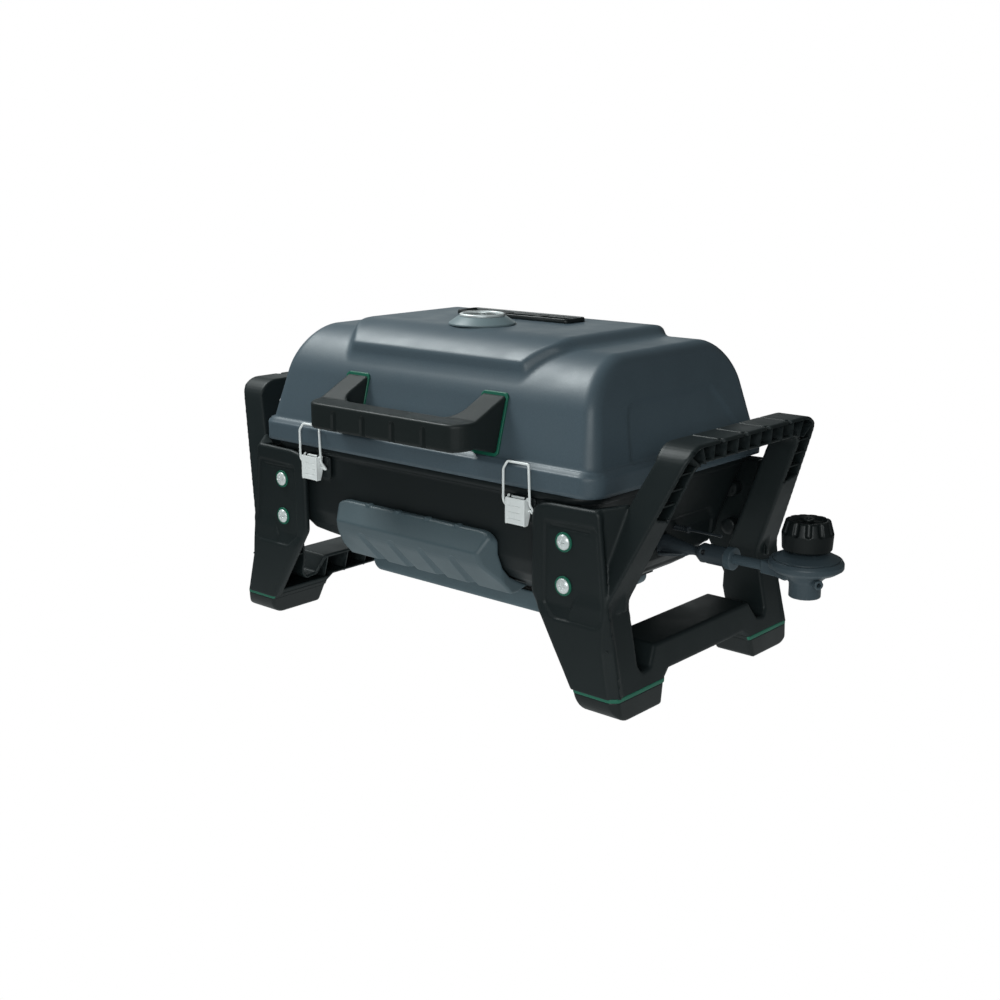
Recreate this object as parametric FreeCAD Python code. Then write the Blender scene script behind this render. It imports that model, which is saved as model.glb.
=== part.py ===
"""Portable tabletop gas grill: a cast firebox with a hinged lid between two moulded leg frames.

Millimetres. X runs to the regulator side, Y to the back and Z up. The shapes are drawn about the
middle of the four feet, and every solid is then moved by ORIGIN, so that the part's own origin is
at the middle of the bottom of its bounding box. Each sub-part goes to parts/NODE.step.
"""

import FreeCAD, Part
import math
import os

V = FreeCAD.Vector
X, Y, Z = V(1, 0, 0), V(0, 1, 0), V(0, 0, 1)

# Driving dimensions
RIM_HALF = (242.0, 157.0)  # lid rim, half width and half depth
RIM_RADIUS = 21.0  # plan radius of the rim's corners
LID_BOTTOM, LID_BAND_TOP = 213.8, 235.0
LID_WALL_LOW = (235.5, 150.5, 236.5)  # half width, half depth, height
LID_WALL_TOP = (213.5, 120.9, 342.0)  # where the walls' lines would meet the roof
LID_ROLL, LID_END_EDGE = 50.0, 11.0  # radius from the roof into the long walls, and into the ends
PLATEAU_TOP = 353.2
PLATEAU_PLAN = [  # half width, reach of the 45 degree corner cut (x + y), height
    (147.5, 236.0, 353.2),
    (162.0, 243.0, 342.0),
    (163.0, 266.0, 306.0),
]
SHELL = 3.0  # cast wall thickness

BOX_TOP = 213.3
BOX_FLANGE = (234.0, 153.0, 205.0)
BOX_SECTIONS = [  # half width, half depth, plan radius, height
    (231.0, 149.0, 32.0, 206.0),
    (203.5, 148.5, 32.0, 138.0),
    (202.0, 144.0, 31.0, 123.0),
    (199.0, 134.0, 30.0, 112.0),
    (194.0, 120.0, 28.0, 104.5),
    (187.0, 105.0, 25.0, 97.0),
    (176.0, 92.0, 20.0, 90.0),
    (160.0, 80.0, 15.0, 85.0),
]
GRATE_Z, HEAT_PLATE_Z = 192.0, 174.0  # undersides

LEG_TOP, GRIP_UNDERSIDE = 270.0, 249.5
LEG_WAIST = (258.0, 159.5, 110.0)  # outer x, outer y and height where the posts turn into arms
LEG_OUTER_TOP = 322.0
FOOT_SEAM = (21.8, 24.6)  # the green strip's underside and top
PLATE_FACE, PLATE_THICK = -157.5, 7.0
BOLT_X, BOLT_ZS = 207.5, (124.8, 168.9)

LATCH_X = 151.3
LATCH_PIN = (-158.4, 204.0)  # y, z
BAIL_PIN = (-157.4, 192.5)
BAIL_TOP = 239.3
WIRE_R, LATCH_PIN_R = 1.25, 1.3

HINGE_X, HINGE_AXIS = 120.0, (163.0, 213.0)
HINGE_PIN_R = 2.0

HANDLE_HALF, HANDLE_FRONT, HANDLE_Z = 116.0, -205.0, (248.0, 277.0)
HANDLE_FOOT_Z = (240.3, 300.5)  # where the handle's feet meet the lid
GAUGE = (2.0, -45.0)

TRAY_HALF, TRAY_Z, TRAY_WALL = (141.0, 80.0), (57.0, 79.0), 1.6

GAS_Y, GAS_Z = 22.0, 128.0  # the venturi and gas tube's axis
ELECTRODE = (38.0, 144.0)  # y, z of its axis
REGULATOR_X = 370.0
DISC_R, SOCKET_R, SOCKET_THREAD_R = 37.0, 15.8, 12.7
SOCKET_Z, SOCKET_TOP = 105.5, 114.0  # the cylinder socket's mouth and its inner end
KNOB_R, KNOB_Z = 25.5, (154.0, 184.0)
SLEEVE_END = 280.4  # where the venturi's air sleeve stops short of the tube's collar

RUNNING = 0.05  # radial clearance of pins and shafts

X_REACH = (-LEG_OUTER_TOP, REGULATOR_X + DISC_R)
HINGE_BARREL_R = 4.5
Y_REACH = (HANDLE_FRONT, HINGE_AXIS[0] + HINGE_BARREL_R)
ORIGIN = V(-(X_REACH[0] + X_REACH[1]) / 2, -(Y_REACH[0] + Y_REACH[1]) / 2, 0)


# Drawing helpers


def rounded_wire(points, place):
    """A closed wire through (u, v) or (u, v, radius) corners; place puts a (u, v) in space."""
    corners = []
    count = len(points)
    for i, point in enumerate(points):
        here = V(point[0], point[1], 0)
        radius = point[2] if len(point) > 2 else 0
        if not radius:
            corners.append((here, None, here))
            continue
        back = (V(*points[i - 1][:2], 0) - here).normalize()
        ahead = (V(*points[(i + 1) % count][:2], 0) - here).normalize()
        half = back.getAngle(ahead) / 2
        reach = radius / math.tan(half)
        inward = (back + ahead).normalize()
        middle = here + inward * (radius / math.sin(half) - radius)
        corners.append((here + back * reach, middle, here + ahead * reach))
    edges = []
    for i, (start, middle, end) in enumerate(corners):
        if middle:
            edges.append(Part.Arc(*[place(p.x, p.y) for p in (start, middle, end)]).toShape())
        after = corners[(i + 1) % count][0]
        if (after - end).Length > 1e-6:
            edges.append(Part.LineSegment(place(end.x, end.y), place(after.x, after.y)).toShape())
    return Part.Wire(edges)


def prism(plane, points, start, end):
    """The outline drawn in plane xy, xz or yz, extruded along the third axis."""
    place, along = {
        "xy": (lambda u, v: V(u, v, start), Z),
        "xz": (lambda u, v: V(u, start, v), Y),
        "yz": (lambda u, v: V(start, u, v), X),
    }[plane]
    return Part.Face(rounded_wire(points, place)).extrude(along * (end - start))


def box(x, y, z):
    """A box from its (low, high) pairs."""
    return Part.makeBox(x[1] - x[0], y[1] - y[0], z[1] - z[0], V(x[0], y[0], z[0]))


def cyl(radius, start, end):
    return Part.makeCylinder(radius, (end - start).Length, start, end - start)


def cone(r_start, r_end, start, end):
    return Part.makeCone(r_start, r_end, (end - start).Length, start, end - start)


def ring(r_out, r_in, start, end):
    return cyl(r_out, start, end).cut(cyl(r_in, start, end))


def turned(profile, centre):
    """A solid of revolution about the vertical axis through centre, from (radius, z) corners."""
    wire = rounded_wire(profile, lambda u, v: V(centre[0] + u, centre[1], v))
    return Part.Face(wire).revolve(V(centre[0], centre[1], 0), Z, 360)


def joined(shapes):
    first = shapes[0]
    return first.fuse(shapes[1:]).removeSplitter() if len(shapes) > 1 else first


def group(shapes):
    return Part.makeCompound(shapes)


def other_side(shape):
    """The mirror image on the left."""
    return shape.mirror(V(0, 0, 0), X)


def front_and_back(shape):
    return [shape, shape.mirror(V(0, 0, 0), Y)]


def rectangle_section(half_x, half_y, radius, z):
    corners = [(half_x, half_y), (-half_x, half_y), (-half_x, -half_y), (half_x, -half_y)]
    return rounded_wire([(u, v, radius) for u, v in corners], lambda u, v: V(u, v, z))


def loft_outlines(wires):
    return Part.makeLoft(wires, True, True)


def loft(sections):
    return loft_outlines([rectangle_section(*s) for s in sections])


def wire_rod(points, radius, bend):
    """A bent wire through the points, with rounded bends."""
    ends = [points[0]]
    for before, here, after in zip(points, points[1:], points[2:]):
        back, ahead = (before - here).normalize(), (after - here).normalize()
        half = back.getAngle(ahead) / 2
        reach = bend / math.tan(half)
        start, end = here + back * reach, here + ahead * reach
        inward = (back + ahead).normalize()
        middle = here + inward * (bend / math.sin(half) - bend)
        ends += [start, middle, end]
    ends.append(points[-1])
    edges = []
    for i in range(0, len(ends) - 1, 3):
        edges.append(Part.LineSegment(ends[i], ends[i + 1]).toShape())
        if i + 3 < len(ends):
            edges.append(Part.Arc(*ends[i + 1 : i + 4]).toShape())
    path = Part.Wire(edges)
    profile = Part.Wire(Part.Circle(points[0], points[1] - points[0], radius).toShape())
    return path.makePipeShell([profile], True, True)


# Lid


def lid_form(inset):
    """The lid's outer form, or its hollow for an inset above zero."""
    band_x, band_y = (h - inset * 4 / 3 for h in RIM_HALF)
    low, top = LID_WALL_LOW, LID_WALL_TOP
    lean_x, lean_y = ((low[i] - top[i]) / (top[2] - low[2]) for i in (0, 1))
    bottom = LID_BOTTOM - (1 if inset else 0)
    sections = [
        (band_x, band_y, RIM_RADIUS - inset, bottom),
        (band_x, band_y, RIM_RADIUS - inset, LID_BAND_TOP - inset),
        (low[0] - inset, low[1] - inset, RIM_RADIUS - 5 - inset, low[2]),
    ]
    first = math.atan(lean_y)
    roll_y = top[1] - LID_ROLL * math.tan((math.pi / 2 - first) / 2)
    steps = 9
    for k in range(steps + 1):
        turn = first + (math.pi / 2 - first) * k / steps
        height = top[2] - LID_ROLL * (1 - math.sin(turn))
        half_y = roll_y + LID_ROLL * math.cos(turn)
        over = max(0, height - top[2] + LID_END_EDGE)
        half_x = low[0] - lean_x * (height - low[2]) - LID_END_EDGE + math.sqrt(LID_END_EDGE**2 - over**2)
        height -= inset * (math.sin(turn) - lean_y) / (1 - lean_y)
        sections.append((half_x - inset, half_y - inset, 14 - inset, height))
    side = [(-127.5 + inset, 306), (-120.5 + inset, 330.8, 3), (-98 + inset, PLATEAU_TOP - inset, 45),
            (98 - inset, PLATEAU_TOP - inset, 45), (120.5 - inset, 330.8, 3), (127.5 - inset, 306)]
    rise = loft_outlines([plateau_outline(half, reach, z, inset) for half, reach, z in PLATEAU_PLAN])
    return loft(sections).fuse(rise.common(prism("yz", side, -164, 164)))


def plateau_outline(half, reach, z, inset):
    """The plateau seen from above at one height: a wide rectangle with its corners cut off."""
    deep = 128
    half -= inset
    reach -= inset * math.sqrt(2)
    quarter = [(half, reach - half, 8), (reach - deep, deep, 8)]
    points = quarter + [(-x, y, r) for x, y, r in quarter[::-1]]
    points += [(-x, -y, r) for x, y, r in quarter] + [(x, -y, r) for x, y, r in quarter[::-1]]
    return rounded_wire(points, lambda u, v: V(u, v, z))


def handle_screw(side, height):
    """The start and the outward direction of a handle screw on the inside of the lid's front wall."""
    low, top = LID_WALL_LOW, LID_WALL_TOP
    lean = (low[1] - top[1]) / (top[2] - low[2])
    wall_y = -(low[1] - lean * (height - low[2]) - SHELL)
    return V(side * 96, wall_y, height), V(0, -1, lean).normalize()


HANDLE_SCREWS = [handle_screw(side, height) for side in (-1, 1) for height in (258, 284)]


def screw_holes(radius):
    return [cyl(radius, start - way * 2, start + way * 17) for start, way in HANDLE_SCREWS]


def lid_shell():
    hollow = lid_form(SHELL)
    stem_hole = cyl(3.5, V(*GAUGE, 340), V(*GAUGE, 360))
    return lid_form(0).cut([hollow, stem_hole] + screw_holes(2.9))


def wall_line(gap, margin=0):
    """The two ends of a line up the lid's front wall behind a handle foot, gap in front of the wall."""
    low, top = LID_WALL_LOW, LID_WALL_TOP
    lean = (low[1] - top[1]) / (top[2] - low[2])
    heights = (HANDLE_FOOT_Z[0] - margin, HANDLE_FOOT_Z[1] + margin)
    return [(-(low[1] - lean * (z - low[2])) - gap, z) for z in heights]


def lid_handle():
    half, front = HANDLE_HALF, HANDLE_FRONT
    plan = [
        (-half, -120),
        (-half, front, 20),
        (half, front, 20),
        (half, -120),
        (84, -120),
        (81, -177, 8),
        (-81, -177, 8),
        (-84, -120),
    ]
    side = [
        (front, HANDLE_Z[0] + 1, 4),
        (front, HANDLE_Z[1] - 1, 6),
        (-181, HANDLE_Z[1] + 1, 12),
        *wall_line(2.2)[::-1],
        (-178, HANDLE_Z[0], 8),
    ]
    body = prism("xy", plan, 230, 310).common(prism("yz", side, -half, half))
    grooves = []
    for x in (-65.1, -21.7, 21.7, 65.1):
        groove = box((x - 2.5, x + 2.5), (front - 1, front + 3.5), (240, 266))
        grooves += [groove, cyl(2.5, V(x, front - 1, 266), V(x, front + 3.5, 266))]
    return body.cut(grooves + screw_holes(2.4))


def handle_gasket():
    """The right gasket, between the handle's foot and the lid."""
    outline = wall_line(0.1, 1) + wall_line(2.1, 1)[::-1]
    plate = prism("yz", outline, 82.2, HANDLE_HALF + 1.2)
    return plate.cut(screw_holes(2.9))


def handle_screws():
    screws = []
    for start, way in HANDLE_SCREWS:
        head = cyl(4.5, start - way * 2.9, start - way * 0.15)
        screws.append(head.fuse(cyl(2.35, start - way * 0.2, start + way * 15)))
    return group(screws)


def gauge_parts():
    x, y = GAUGE
    base = PLATEAU_TOP + 0.1
    bezel = turned([(3.2, base), (36.5, base), (36.5, base + 1.5), (25.5, base + 9, 3),
                    (22, base + 9), (22, base + 2.5), (3.2, base + 2.5)], GAUGE)
    dial = turned([(1.3, base + 3.4), (21.7, base + 3.4), (21.7, base + 4.4), (1.3, base + 4.4)], GAUGE)
    lens = turned([(0, base + 7), (21.7, base + 7), (21.7, base + 8.5), (0, base + 8.5)], GAUGE)
    chrome = turned([(20.6, base + 9.1), (24.6, base + 9.1), (24.6, base + 11.3), (22.6, base + 12.3),
                     (20.6, base + 11.3)], GAUGE)
    probe = cyl(3.0, V(x, y, 296), V(x, y, base + 2.5))
    probe = probe.fuse(ring(6.0, 2.0, V(x, y, base + 2.55), V(x, y, base + 3.3)))
    probe = probe.fuse(cyl(6.0, V(x, y, base + 2.5), V(x, y, base + 2.6)))
    hexagon = [(x + 6 * math.cos(k * math.pi / 3), y + 6 * math.sin(k * math.pi / 3)) for k in range(6)]
    roof = PLATEAU_TOP - SHELL
    nut = prism("xy", hexagon, roof - 5.1, roof - 0.1).cut(cyl(3.1, V(x, y, 330), V(x, y, 360)))
    pointer = prism("xy", [(x - 1, y - 5), (x + 1, y - 5), (x + 0.4, y + 18), (x - 0.4, y + 18)],
                    base + 5.2, base + 5.9)
    needle = pointer.fuse(cyl(2.4, V(x, y, base + 5.0), V(x, y, base + 6.3)))
    needle = needle.fuse(cyl(1.25, V(x, y, base + 3.0), V(x, y, base + 5.1)))
    return {
        "gauge_bezel": bezel,
        "gauge_dial": dial,
        "gauge_lens": lens,
        "gauge_ring": chrome,
        "gauge_probe": probe,
        "gauge_nut": nut,
        "gauge_needle": needle,
    }


def lid_trim():
    """The slotted frame behind the gauge."""
    base = PLATEAU_TOP + 0.1
    plate = prism("xy", [(-92, 14, 5), (72, 14, 5), (72, 50, 5), (-92, 50, 5)], base, base + 6.5)
    slots = []
    for x in range(-84, 60, 25):
        slots.append(prism("xy", [(x, 21, 2), (x + 19, 21, 2), (x + 19, 43, 2), (x, 43, 2)],
                           base + 2, base + 8))
    return plate.cut(slots)


# Rear hinges, drawn about x = 0 and then placed


def hinge_parts(x):
    y, z = HINGE_AXIS
    bore = cyl(HINGE_PIN_R + RUNNING, V(-20, y, z), V(20, y, z))
    base = [box((-18, 18), (154, 156), (181, 203.6)), box((-18, 18), (154, y + 1), (203.6, 206))]
    for low in (-18, 9.8):
        base.append(cyl(HINGE_BARREL_R, V(low, y, z), V(low + 8.2, y, z)))
        base.append(box((low, low + 8.2), (y - 3, y + 2.5), (204, z)))
    leaf = [box((-18, 18), (RIM_HALF[1] + 0.1, RIM_HALF[1] + 1.6), (218, 233))]
    leaf.append(cyl(HINGE_BARREL_R, V(-9.4, y, z), V(9.4, y, z)))
    leaf.append(prism("yz", [(RIM_HALF[1] + 0.1, 214.6), (RIM_HALF[1] + 0.1, 228), (RIM_HALF[1] + 1.6, 228),
                             (y + 2.5, 216), (y, 212)], -9.4, 9.4))
    pin = cyl(HINGE_PIN_R, V(-18.4, y, z), V(18.4, y, z))
    for end in (-20, 18.4):
        pin = pin.fuse(cyl(3.4, V(end, y, z), V(end + 1.6, y, z)))
    parts = [joined(base).cut(bore), joined(leaf).cut(bore), pin]
    for part in parts:
        part.translate(X * x)
    return parts


# Firebox


def box_profile(inset):
    sections = []
    for half_x, half_y, radius, z in BOX_SECTIONS:
        sections.append((half_x - inset, half_y - inset, max(radius - inset, 6), z))
    lowest = sections[-1]
    if inset:
        sections[0] = sections[0][:3] + (BOX_TOP + 1,)
        sections[-1] = lowest[:3] + (lowest[3] + inset,)
        sections[-2] = sections[-2][:3] + (sections[-2][3] + inset * 0.6,)
    return loft(sections)


def ledge(z, half_x, half_y, end_length):
    """Cast ledges inside the firebox's two ends, reaching end_length along its front and back."""
    outer = loft([(half_x + 18, half_y + 18, 34, z - 4), (half_x + 18, half_y + 18, 34, z)])
    inner = loft([(half_x, half_y, 22, z - 5), (half_x, half_y, 22, z + 1)])
    middle = half_x + 18 - end_length
    gap = box((-middle, middle), (-half_y - 20, half_y + 20), (z - 5, z + 1))
    return outer.cut([inner, gap]).common(box_profile(SHELL / 2))


def shield_screws_at():
    return [V(side * 84, -BOX_SECTIONS[1][1], 150) for side in (-1, 1)]


def firebox():
    flange = [BOX_FLANGE[:2] + (33, z) for z in (BOX_FLANGE[2], BOX_TOP)]
    shell = loft(flange).fuse(box_profile(0))
    lugs = []
    for z in BOLT_ZS:
        lug = cyl(9, V(BOLT_X, PLATE_FACE + PLATE_THICK + 0.05, z), V(BOLT_X, -118, z))
        lugs += front_and_back(lug)
    lugs += [other_side(lug) for lug in lugs]
    pads = [box((x - 20, x + 20), (146, 153.9), (180, 204)) for x in (-HINGE_X, HINGE_X)]
    mounts = []
    for x in (-LATCH_X, LATCH_X):
        mounts.append(box((x - 16, x + 16), (-150.5, -146), (178, 204)))
    shell = shell.fuse(lugs + pads + mounts)
    holes = [cyl(12, V(0, 0, 80), V(0, 0, 95))]
    holes.append(cyl(12.0, V(180, GAS_Y, GAS_Z), V(240, GAS_Y, GAS_Z)))
    holes.append(cyl(3.6, V(180, *ELECTRODE), V(240, *ELECTRODE)))
    holes += [cyl(2.8, p - Y * 5, p + Y * 8) for p in shield_screws_at()]
    for x in (-BOLT_X, BOLT_X):
        for z in BOLT_ZS:
            for end in (-1, 1):
                holes.append(cyl(3.05, V(x, end * 156, z), V(x, end * 126, z)))
    shell = shell.cut([box_profile(SHELL)])
    shell = shell.fuse([ledge(GRATE_Z, 208, 122, 60), ledge(HEAT_PLATE_Z, 196, 118, 60)])
    return shell.cut(holes)


def cooking_grate():
    """A grate with 23 bars, its frame clear of the firebox's front and back so that fat runs past it."""
    frame = loft([(216, 127, 20, GRATE_Z + 0.1), (216, 127, 20, GRATE_Z + 7)])
    frame = frame.cut(loft([(207, 118, 14, GRATE_Z - 1), (207, 118, 14, GRATE_Z + 8)]))
    bars = []
    pitch = 414 / 24
    for k in range(23):
        x = -207 + pitch * (k + 1)
        bars.append(box((x - 2.6, x + 2.6), (-119, 119), (GRATE_Z + 0.6, GRATE_Z + 8)))
    for y in (-62, 0, 62):
        bars.append(box((-208, 208), (y - 3, y + 3), (GRATE_Z + 0.6, GRATE_Z + 5)))
    return frame.fuse(bars)


def heat_plate():
    """The trough-shaped plate between the burner and the grate, with slots beside its ridges."""
    plate = loft([(203, 125, 18, HEAT_PLATE_Z + 0.1), (203, 125, 18, HEAT_PLATE_Z + 1.7)])
    slots = []
    for x in range(-160, 161, 40):
        slots.append(prism("xy", [(x - 3, -95, 3), (x + 3, -95, 3), (x + 3, 95, 3), (x - 3, 95, 3)],
                           HEAT_PLATE_Z - 1, HEAT_PLATE_Z + 3))
    return plate.cut(slots)


def burner():
    """A tube bent into a loop, fed through its inlet, with gas ports along its two long sides."""
    radius, half_x, half_y, bend = 9.0, 140.0, 60.0, 30.0
    corners = [(half_x, half_y, bend), (-half_x, half_y, bend), (-half_x, -half_y, bend),
               (half_x, -half_y, bend)]
    path = rounded_wire(corners, lambda u, v: V(u, v, GAS_Z))
    start = path.Edges[0].Vertexes[0].Point
    way = path.Edges[0].tangentAt(path.Edges[0].FirstParameter)
    loops = []
    for r in (radius, radius - 1.2):
        loops.append(path.makePipeShell([Part.Wire(Part.Circle(start, way, r).toShape())], True, True))
    inlet = cyl(radius, V(half_x, GAS_Y, GAS_Z), V(196, GAS_Y, GAS_Z))
    bore = cyl(radius - 1.2, V(half_x, GAS_Y, GAS_Z), V(197, GAS_Y, GAS_Z))
    ports = []
    for x in range(-96, 97, 16):
        for y in (-half_y, half_y):
            ports.append(cyl(1.1, V(x, y, GAS_Z + 5), V(x, y, GAS_Z + 12)))
    return loops[0].fuse(inlet).cut([loops[1], bore] + ports)


def burner_bracket():
    strap = box((-152, -122), (-18, 18), (GAS_Z - 12.5, GAS_Z - 10.5))
    post = box((-150.5, -149), (-18, 18), (BOX_SECTIONS[-1][3] + SHELL + 0.05, GAS_Z - 11))
    return strap.fuse(post)


def venturi():
    """The burner's inlet: a flared mount on the wall, a neck and an air sleeve with round holes."""

    def axis(x):
        return V(x, GAS_Y, GAS_Z)

    wall_x = 190.0
    solid = [
        cyl(11.5, axis(wall_x), axis(205)),
        cone(11.5, 4.8, axis(205), axis(239)),
        cyl(4.8, axis(239), axis(243)),
        cone(4.8, 10.4, axis(243), axis(251)),
        cyl(10.4, axis(251), axis(SLEEVE_END)),
    ]
    solid.append(prism("xy", [(205, GAS_Y - 22, 4), (205, GAS_Y + 22, 4), (214, GAS_Y + 18, 6),
                              (232, GAS_Y + 5), (232, GAS_Y - 5), (214, GAS_Y - 18, 6)],
                       GAS_Z - 7, GAS_Z - 4))
    bores = [
        cyl(9.9, axis(wall_x - 1), axis(204)),
        cone(9.9, 3.4, axis(204), axis(238.5)),
        cyl(3.4, axis(238.4), axis(243.6)),
        cone(3.4, 9.0, axis(243.5), axis(251.5)),
        cyl(9.0, axis(251.4), axis(SLEEVE_END + 1)),
    ]
    holes = []
    for k in range(4):
        turn = math.radians(20 + 90 * k)
        way = V(0, -math.cos(turn), math.sin(turn))
        holes.append(cyl(2.8, axis(256) + way * 5, axis(256) + way * 13))
    return joined(solid).cut(bores + holes)


def electrode():
    """The ignition electrode: a ridged insulator through the wall and its terminal rod."""

    def axis(x):
        return V(x, *ELECTRODE)

    tip = 262.6
    solid = [cyl(2.7, axis(150), axis(219.5)), cyl(3.6, axis(219), axis(222.5))]
    solid += [cyl(1.2, axis(130), axis(tip)), cyl(1.6, axis(tip - 4), axis(tip))]
    for k in range(5):
        solid.append(cyl(3.2, axis(205.5 + 2.8 * k), axis(207 + 2.8 * k)))
    return joined(solid)


# Drip tray and its rails


def drip_tray():
    half_x, half_y = TRAY_HALF
    low, top = TRAY_Z
    outer = prism("xz", [(-half_x, top), (-half_x, low, 12), (half_x, low, 12), (half_x, top)],
                  -half_y, half_y)
    t = TRAY_WALL
    inner = prism("xz", [(-half_x + t, top + 1), (-half_x + t, low + t, 11), (half_x - t, low + t, 11),
                         (half_x - t, top + 1)], -half_y + t, half_y - t)
    lips = [box((side * half_x - (7 if side < 0 else 1), side * half_x + (7 if side > 0 else 1)),
                (-half_y, half_y), (top - t, top)) for side in (-1, 1)]
    return outer.fuse(lips).cut(inner)


def tray_rail():
    """The right rail: an L that the tray's lip slides on, fixed under the firebox."""
    x, lip_low = TRAY_HALF[0], TRAY_Z[1] - TRAY_WALL
    under = BOX_SECTIONS[-1][3] - 0.05
    outline = [(x + 1.5, lip_low - 2.4), (x + 10, lip_low - 2.4), (x + 10, under), (x + 8, under),
               (x + 8, lip_low - 0.4), (x + 1.5, lip_low - 0.4)]
    return prism("xz", outline, -70, 76)


def shield_form(inset):
    """The front shield's wedge: a sloping face over a curved-under face, with bevelled ends."""
    section = [
        (-148 if inset else -149.1, 160.5 - inset),
        (-155.5 + inset * 0.6, 160.5 - inset, 3),
        (-169.8 + inset, 139.5, 4),
        (-165.5 + inset, 126, 26),
        (-133 + inset * 0.3, 92 + inset, 5),
        (-124, 91.5 + inset),
    ]
    if inset:
        section += [(-90, 100 + inset), (-90, 158)]
    else:
        section += [(-106, 96.2), (-121.3, 103.4), (-135, 111.2), (-145.0, 122.6), (-149.1, 138)]
    across = [(-122 + inset, -80), (-120 + inset, -146, 10), (-102 + inset, -172 + inset),
              (102 - inset, -172 + inset), (120 - inset, -146, 10), (122 - inset, -80)]
    face = [(-123 + inset, 88), (-121 + inset, 161 - inset, 24), (121 - inset, 161 - inset, 24),
            (123 - inset, 88)]
    wedge = prism("yz", section, -124, 124)
    wedge = wedge.common(prism("xy", across, 85, 165))
    return wedge.common(prism("xz", face, -175, -80))


def front_shield():
    shell = shield_form(0).cut(shield_form(2.5))
    bosses = [cyl(5, V(p.x, -149.1, p.z), V(p.x, -159, p.z)) for p in shield_screws_at()]
    bores = [cyl(2.4, V(p.x, -148, p.z), V(p.x, -156, p.z)) for p in shield_screws_at()]
    bumps = [cyl(4, V(x, -153.5, 158.2), V(x, -153.5, 161.2)) for x in (-66, -22, 22, 66)]
    shell = shell.fuse([boss.common(shield_form(0)) for boss in bosses] + bumps)
    return shell.cut(bores)


def shield_screws():
    screws = []
    for p in shield_screws_at():
        inside = p.y + SHELL + 0.05
        head = cyl(4.6, V(p.x, inside, p.z), V(p.x, inside + 2.8, p.z))
        screws.append(head.fuse(cyl(2.35, V(p.x, inside, p.z), V(p.x, -155, p.z))))
    return group(screws)


# Draw latches, drawn about x = 0 and then placed


def latch_bracket():
    """The plate behind the right latch, wider towards the middle, with two ears for the pin."""
    y, z = LATCH_PIN
    top = BOX_FLANGE[2] - 0.6
    plate = prism("xz", [(-22, 179, 3), (17, 179, 3), (17, top, 5), (-22, top, 5)], -152.2, -150.6)
    ears = []
    for low in (-10.1, 8.7):
        ear = prism("yz", [(-152, z - 11), (-152, top), (-153.6, top), (y + 1, z + 2.8),
                           (y - 1.5, z + 2.2), (y - 2.8, z), (y - 1.5, z - 2.2)], low, low + 1.4)
        ears.append(ear)
    bore = cyl(LATCH_PIN_R + RUNNING, V(-20, y, z), V(20, y, z))
    return joined([plate] + ears).cut(bore)


def latch_lever():
    y, z = LATCH_PIN
    front, back = y - 4.6, y - 3.4
    plate = prism("xz", [(-12, 178, 2), (12, 178, 2), (12, z - 0.4), (-12, z - 0.4)], front, back)
    grooves = [box((-8, 7), (front - 1, front + 0.5), (h - 0.5, h + 0.5)) for h in (183.5, 190, 196.5)]
    sides = []
    for low in (-12, 10.8):
        sides.append(prism("yz", [(front, 178.5), (front, z + 3.4, 2), (y + 2.6, z + 3.4, 2),
                                  (y + 3.6, BAIL_PIN[1] - 2, 2), (y - 0.4, 178.5, 2)], low, low + 1.2))
    bores = [cyl(LATCH_PIN_R + RUNNING, V(-20, y, z), V(20, y, z)),
             cyl(WIRE_R + RUNNING, V(-20, *BAIL_PIN), V(20, *BAIL_PIN))]
    return joined([plate] + sides).cut(bores + grooves)


def latch_pin():
    y, z = LATCH_PIN
    pin = cyl(LATCH_PIN_R, V(-12.5, y, z), V(12.5, y, z))
    for low in (-13.4, 12.5):
        pin = pin.fuse(cyl(2.2, V(low, y, z), V(low + 0.9, y, z)))
    return pin


def latch_bail():
    """The wire loop, from the lever's holes up in front of the lid's rim."""
    y, z = BAIL_PIN
    half = []
    for side in (-1, 1):
        half.append([
            V(side * 10.9, y, z),
            V(side * 16.8, y, z),
            V(side * 16.8, -160.8, z + 8),
            V(side * 16.4, -161.2, 232),
            V(side * 13.6, -158.5, BAIL_TOP),
        ])
    points = half[0] + half[1][::-1]
    return wire_rod(points, WIRE_R, 1.9)


def latch_parts():
    """The right latch's bracket, lever, pin and bail."""
    parts = [latch_bracket(), latch_lever(), latch_pin(), latch_bail()]
    for part in parts:
        part.translate(X * LATCH_X)
    return parts


# Leg frames


def leg_loop(inset):
    """The side view of a leg frame with its opening, as a prism across the right leg."""
    waist_y, waist_z = LEG_WAIST[1:]
    outer = []
    inner = []
    for side in (-1, 1):
        outer.append([
            (side * (148.5 - inset), 0, 5),
            (side * (163.5 - inset), 24, 8),
            (side * (waist_y - inset), waist_z, 18),
            (side * (118 - inset), 262 - inset * 0.3),
            (side * (111 - inset), LEG_TOP - inset, 3),
        ])
        inner.append([
            (side * (118.5 + inset), 112, 8),
            (side * (119.5 + inset), 47, 3),
            (side * (114 + inset), 39.5 - inset, 3),
            (side * (101 + inset * 0.4), 41 - inset, 3),
            (side * (88 + inset * 0.4), 60.5 - inset, 3),
        ])
    foot = [[(s * (70 - inset * 0.5), 29 + inset, 3), (s * (93.5 + inset * 0.6), 0, 4)] for s in (-1, 1)]
    outline = outer[0] + outer[1][::-1] + foot[1][::-1] + foot[0]
    grip = [(s * (94.5 + inset), GRIP_UNDERSIDE - inset, 11) for s in (-1, 1)]
    opening = inner[0][::-1] + [grip[0], grip[1]] + inner[1]
    width = (200, 330)
    return prism("yz", outline, *width).cut(prism("yz", opening, *width))


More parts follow.
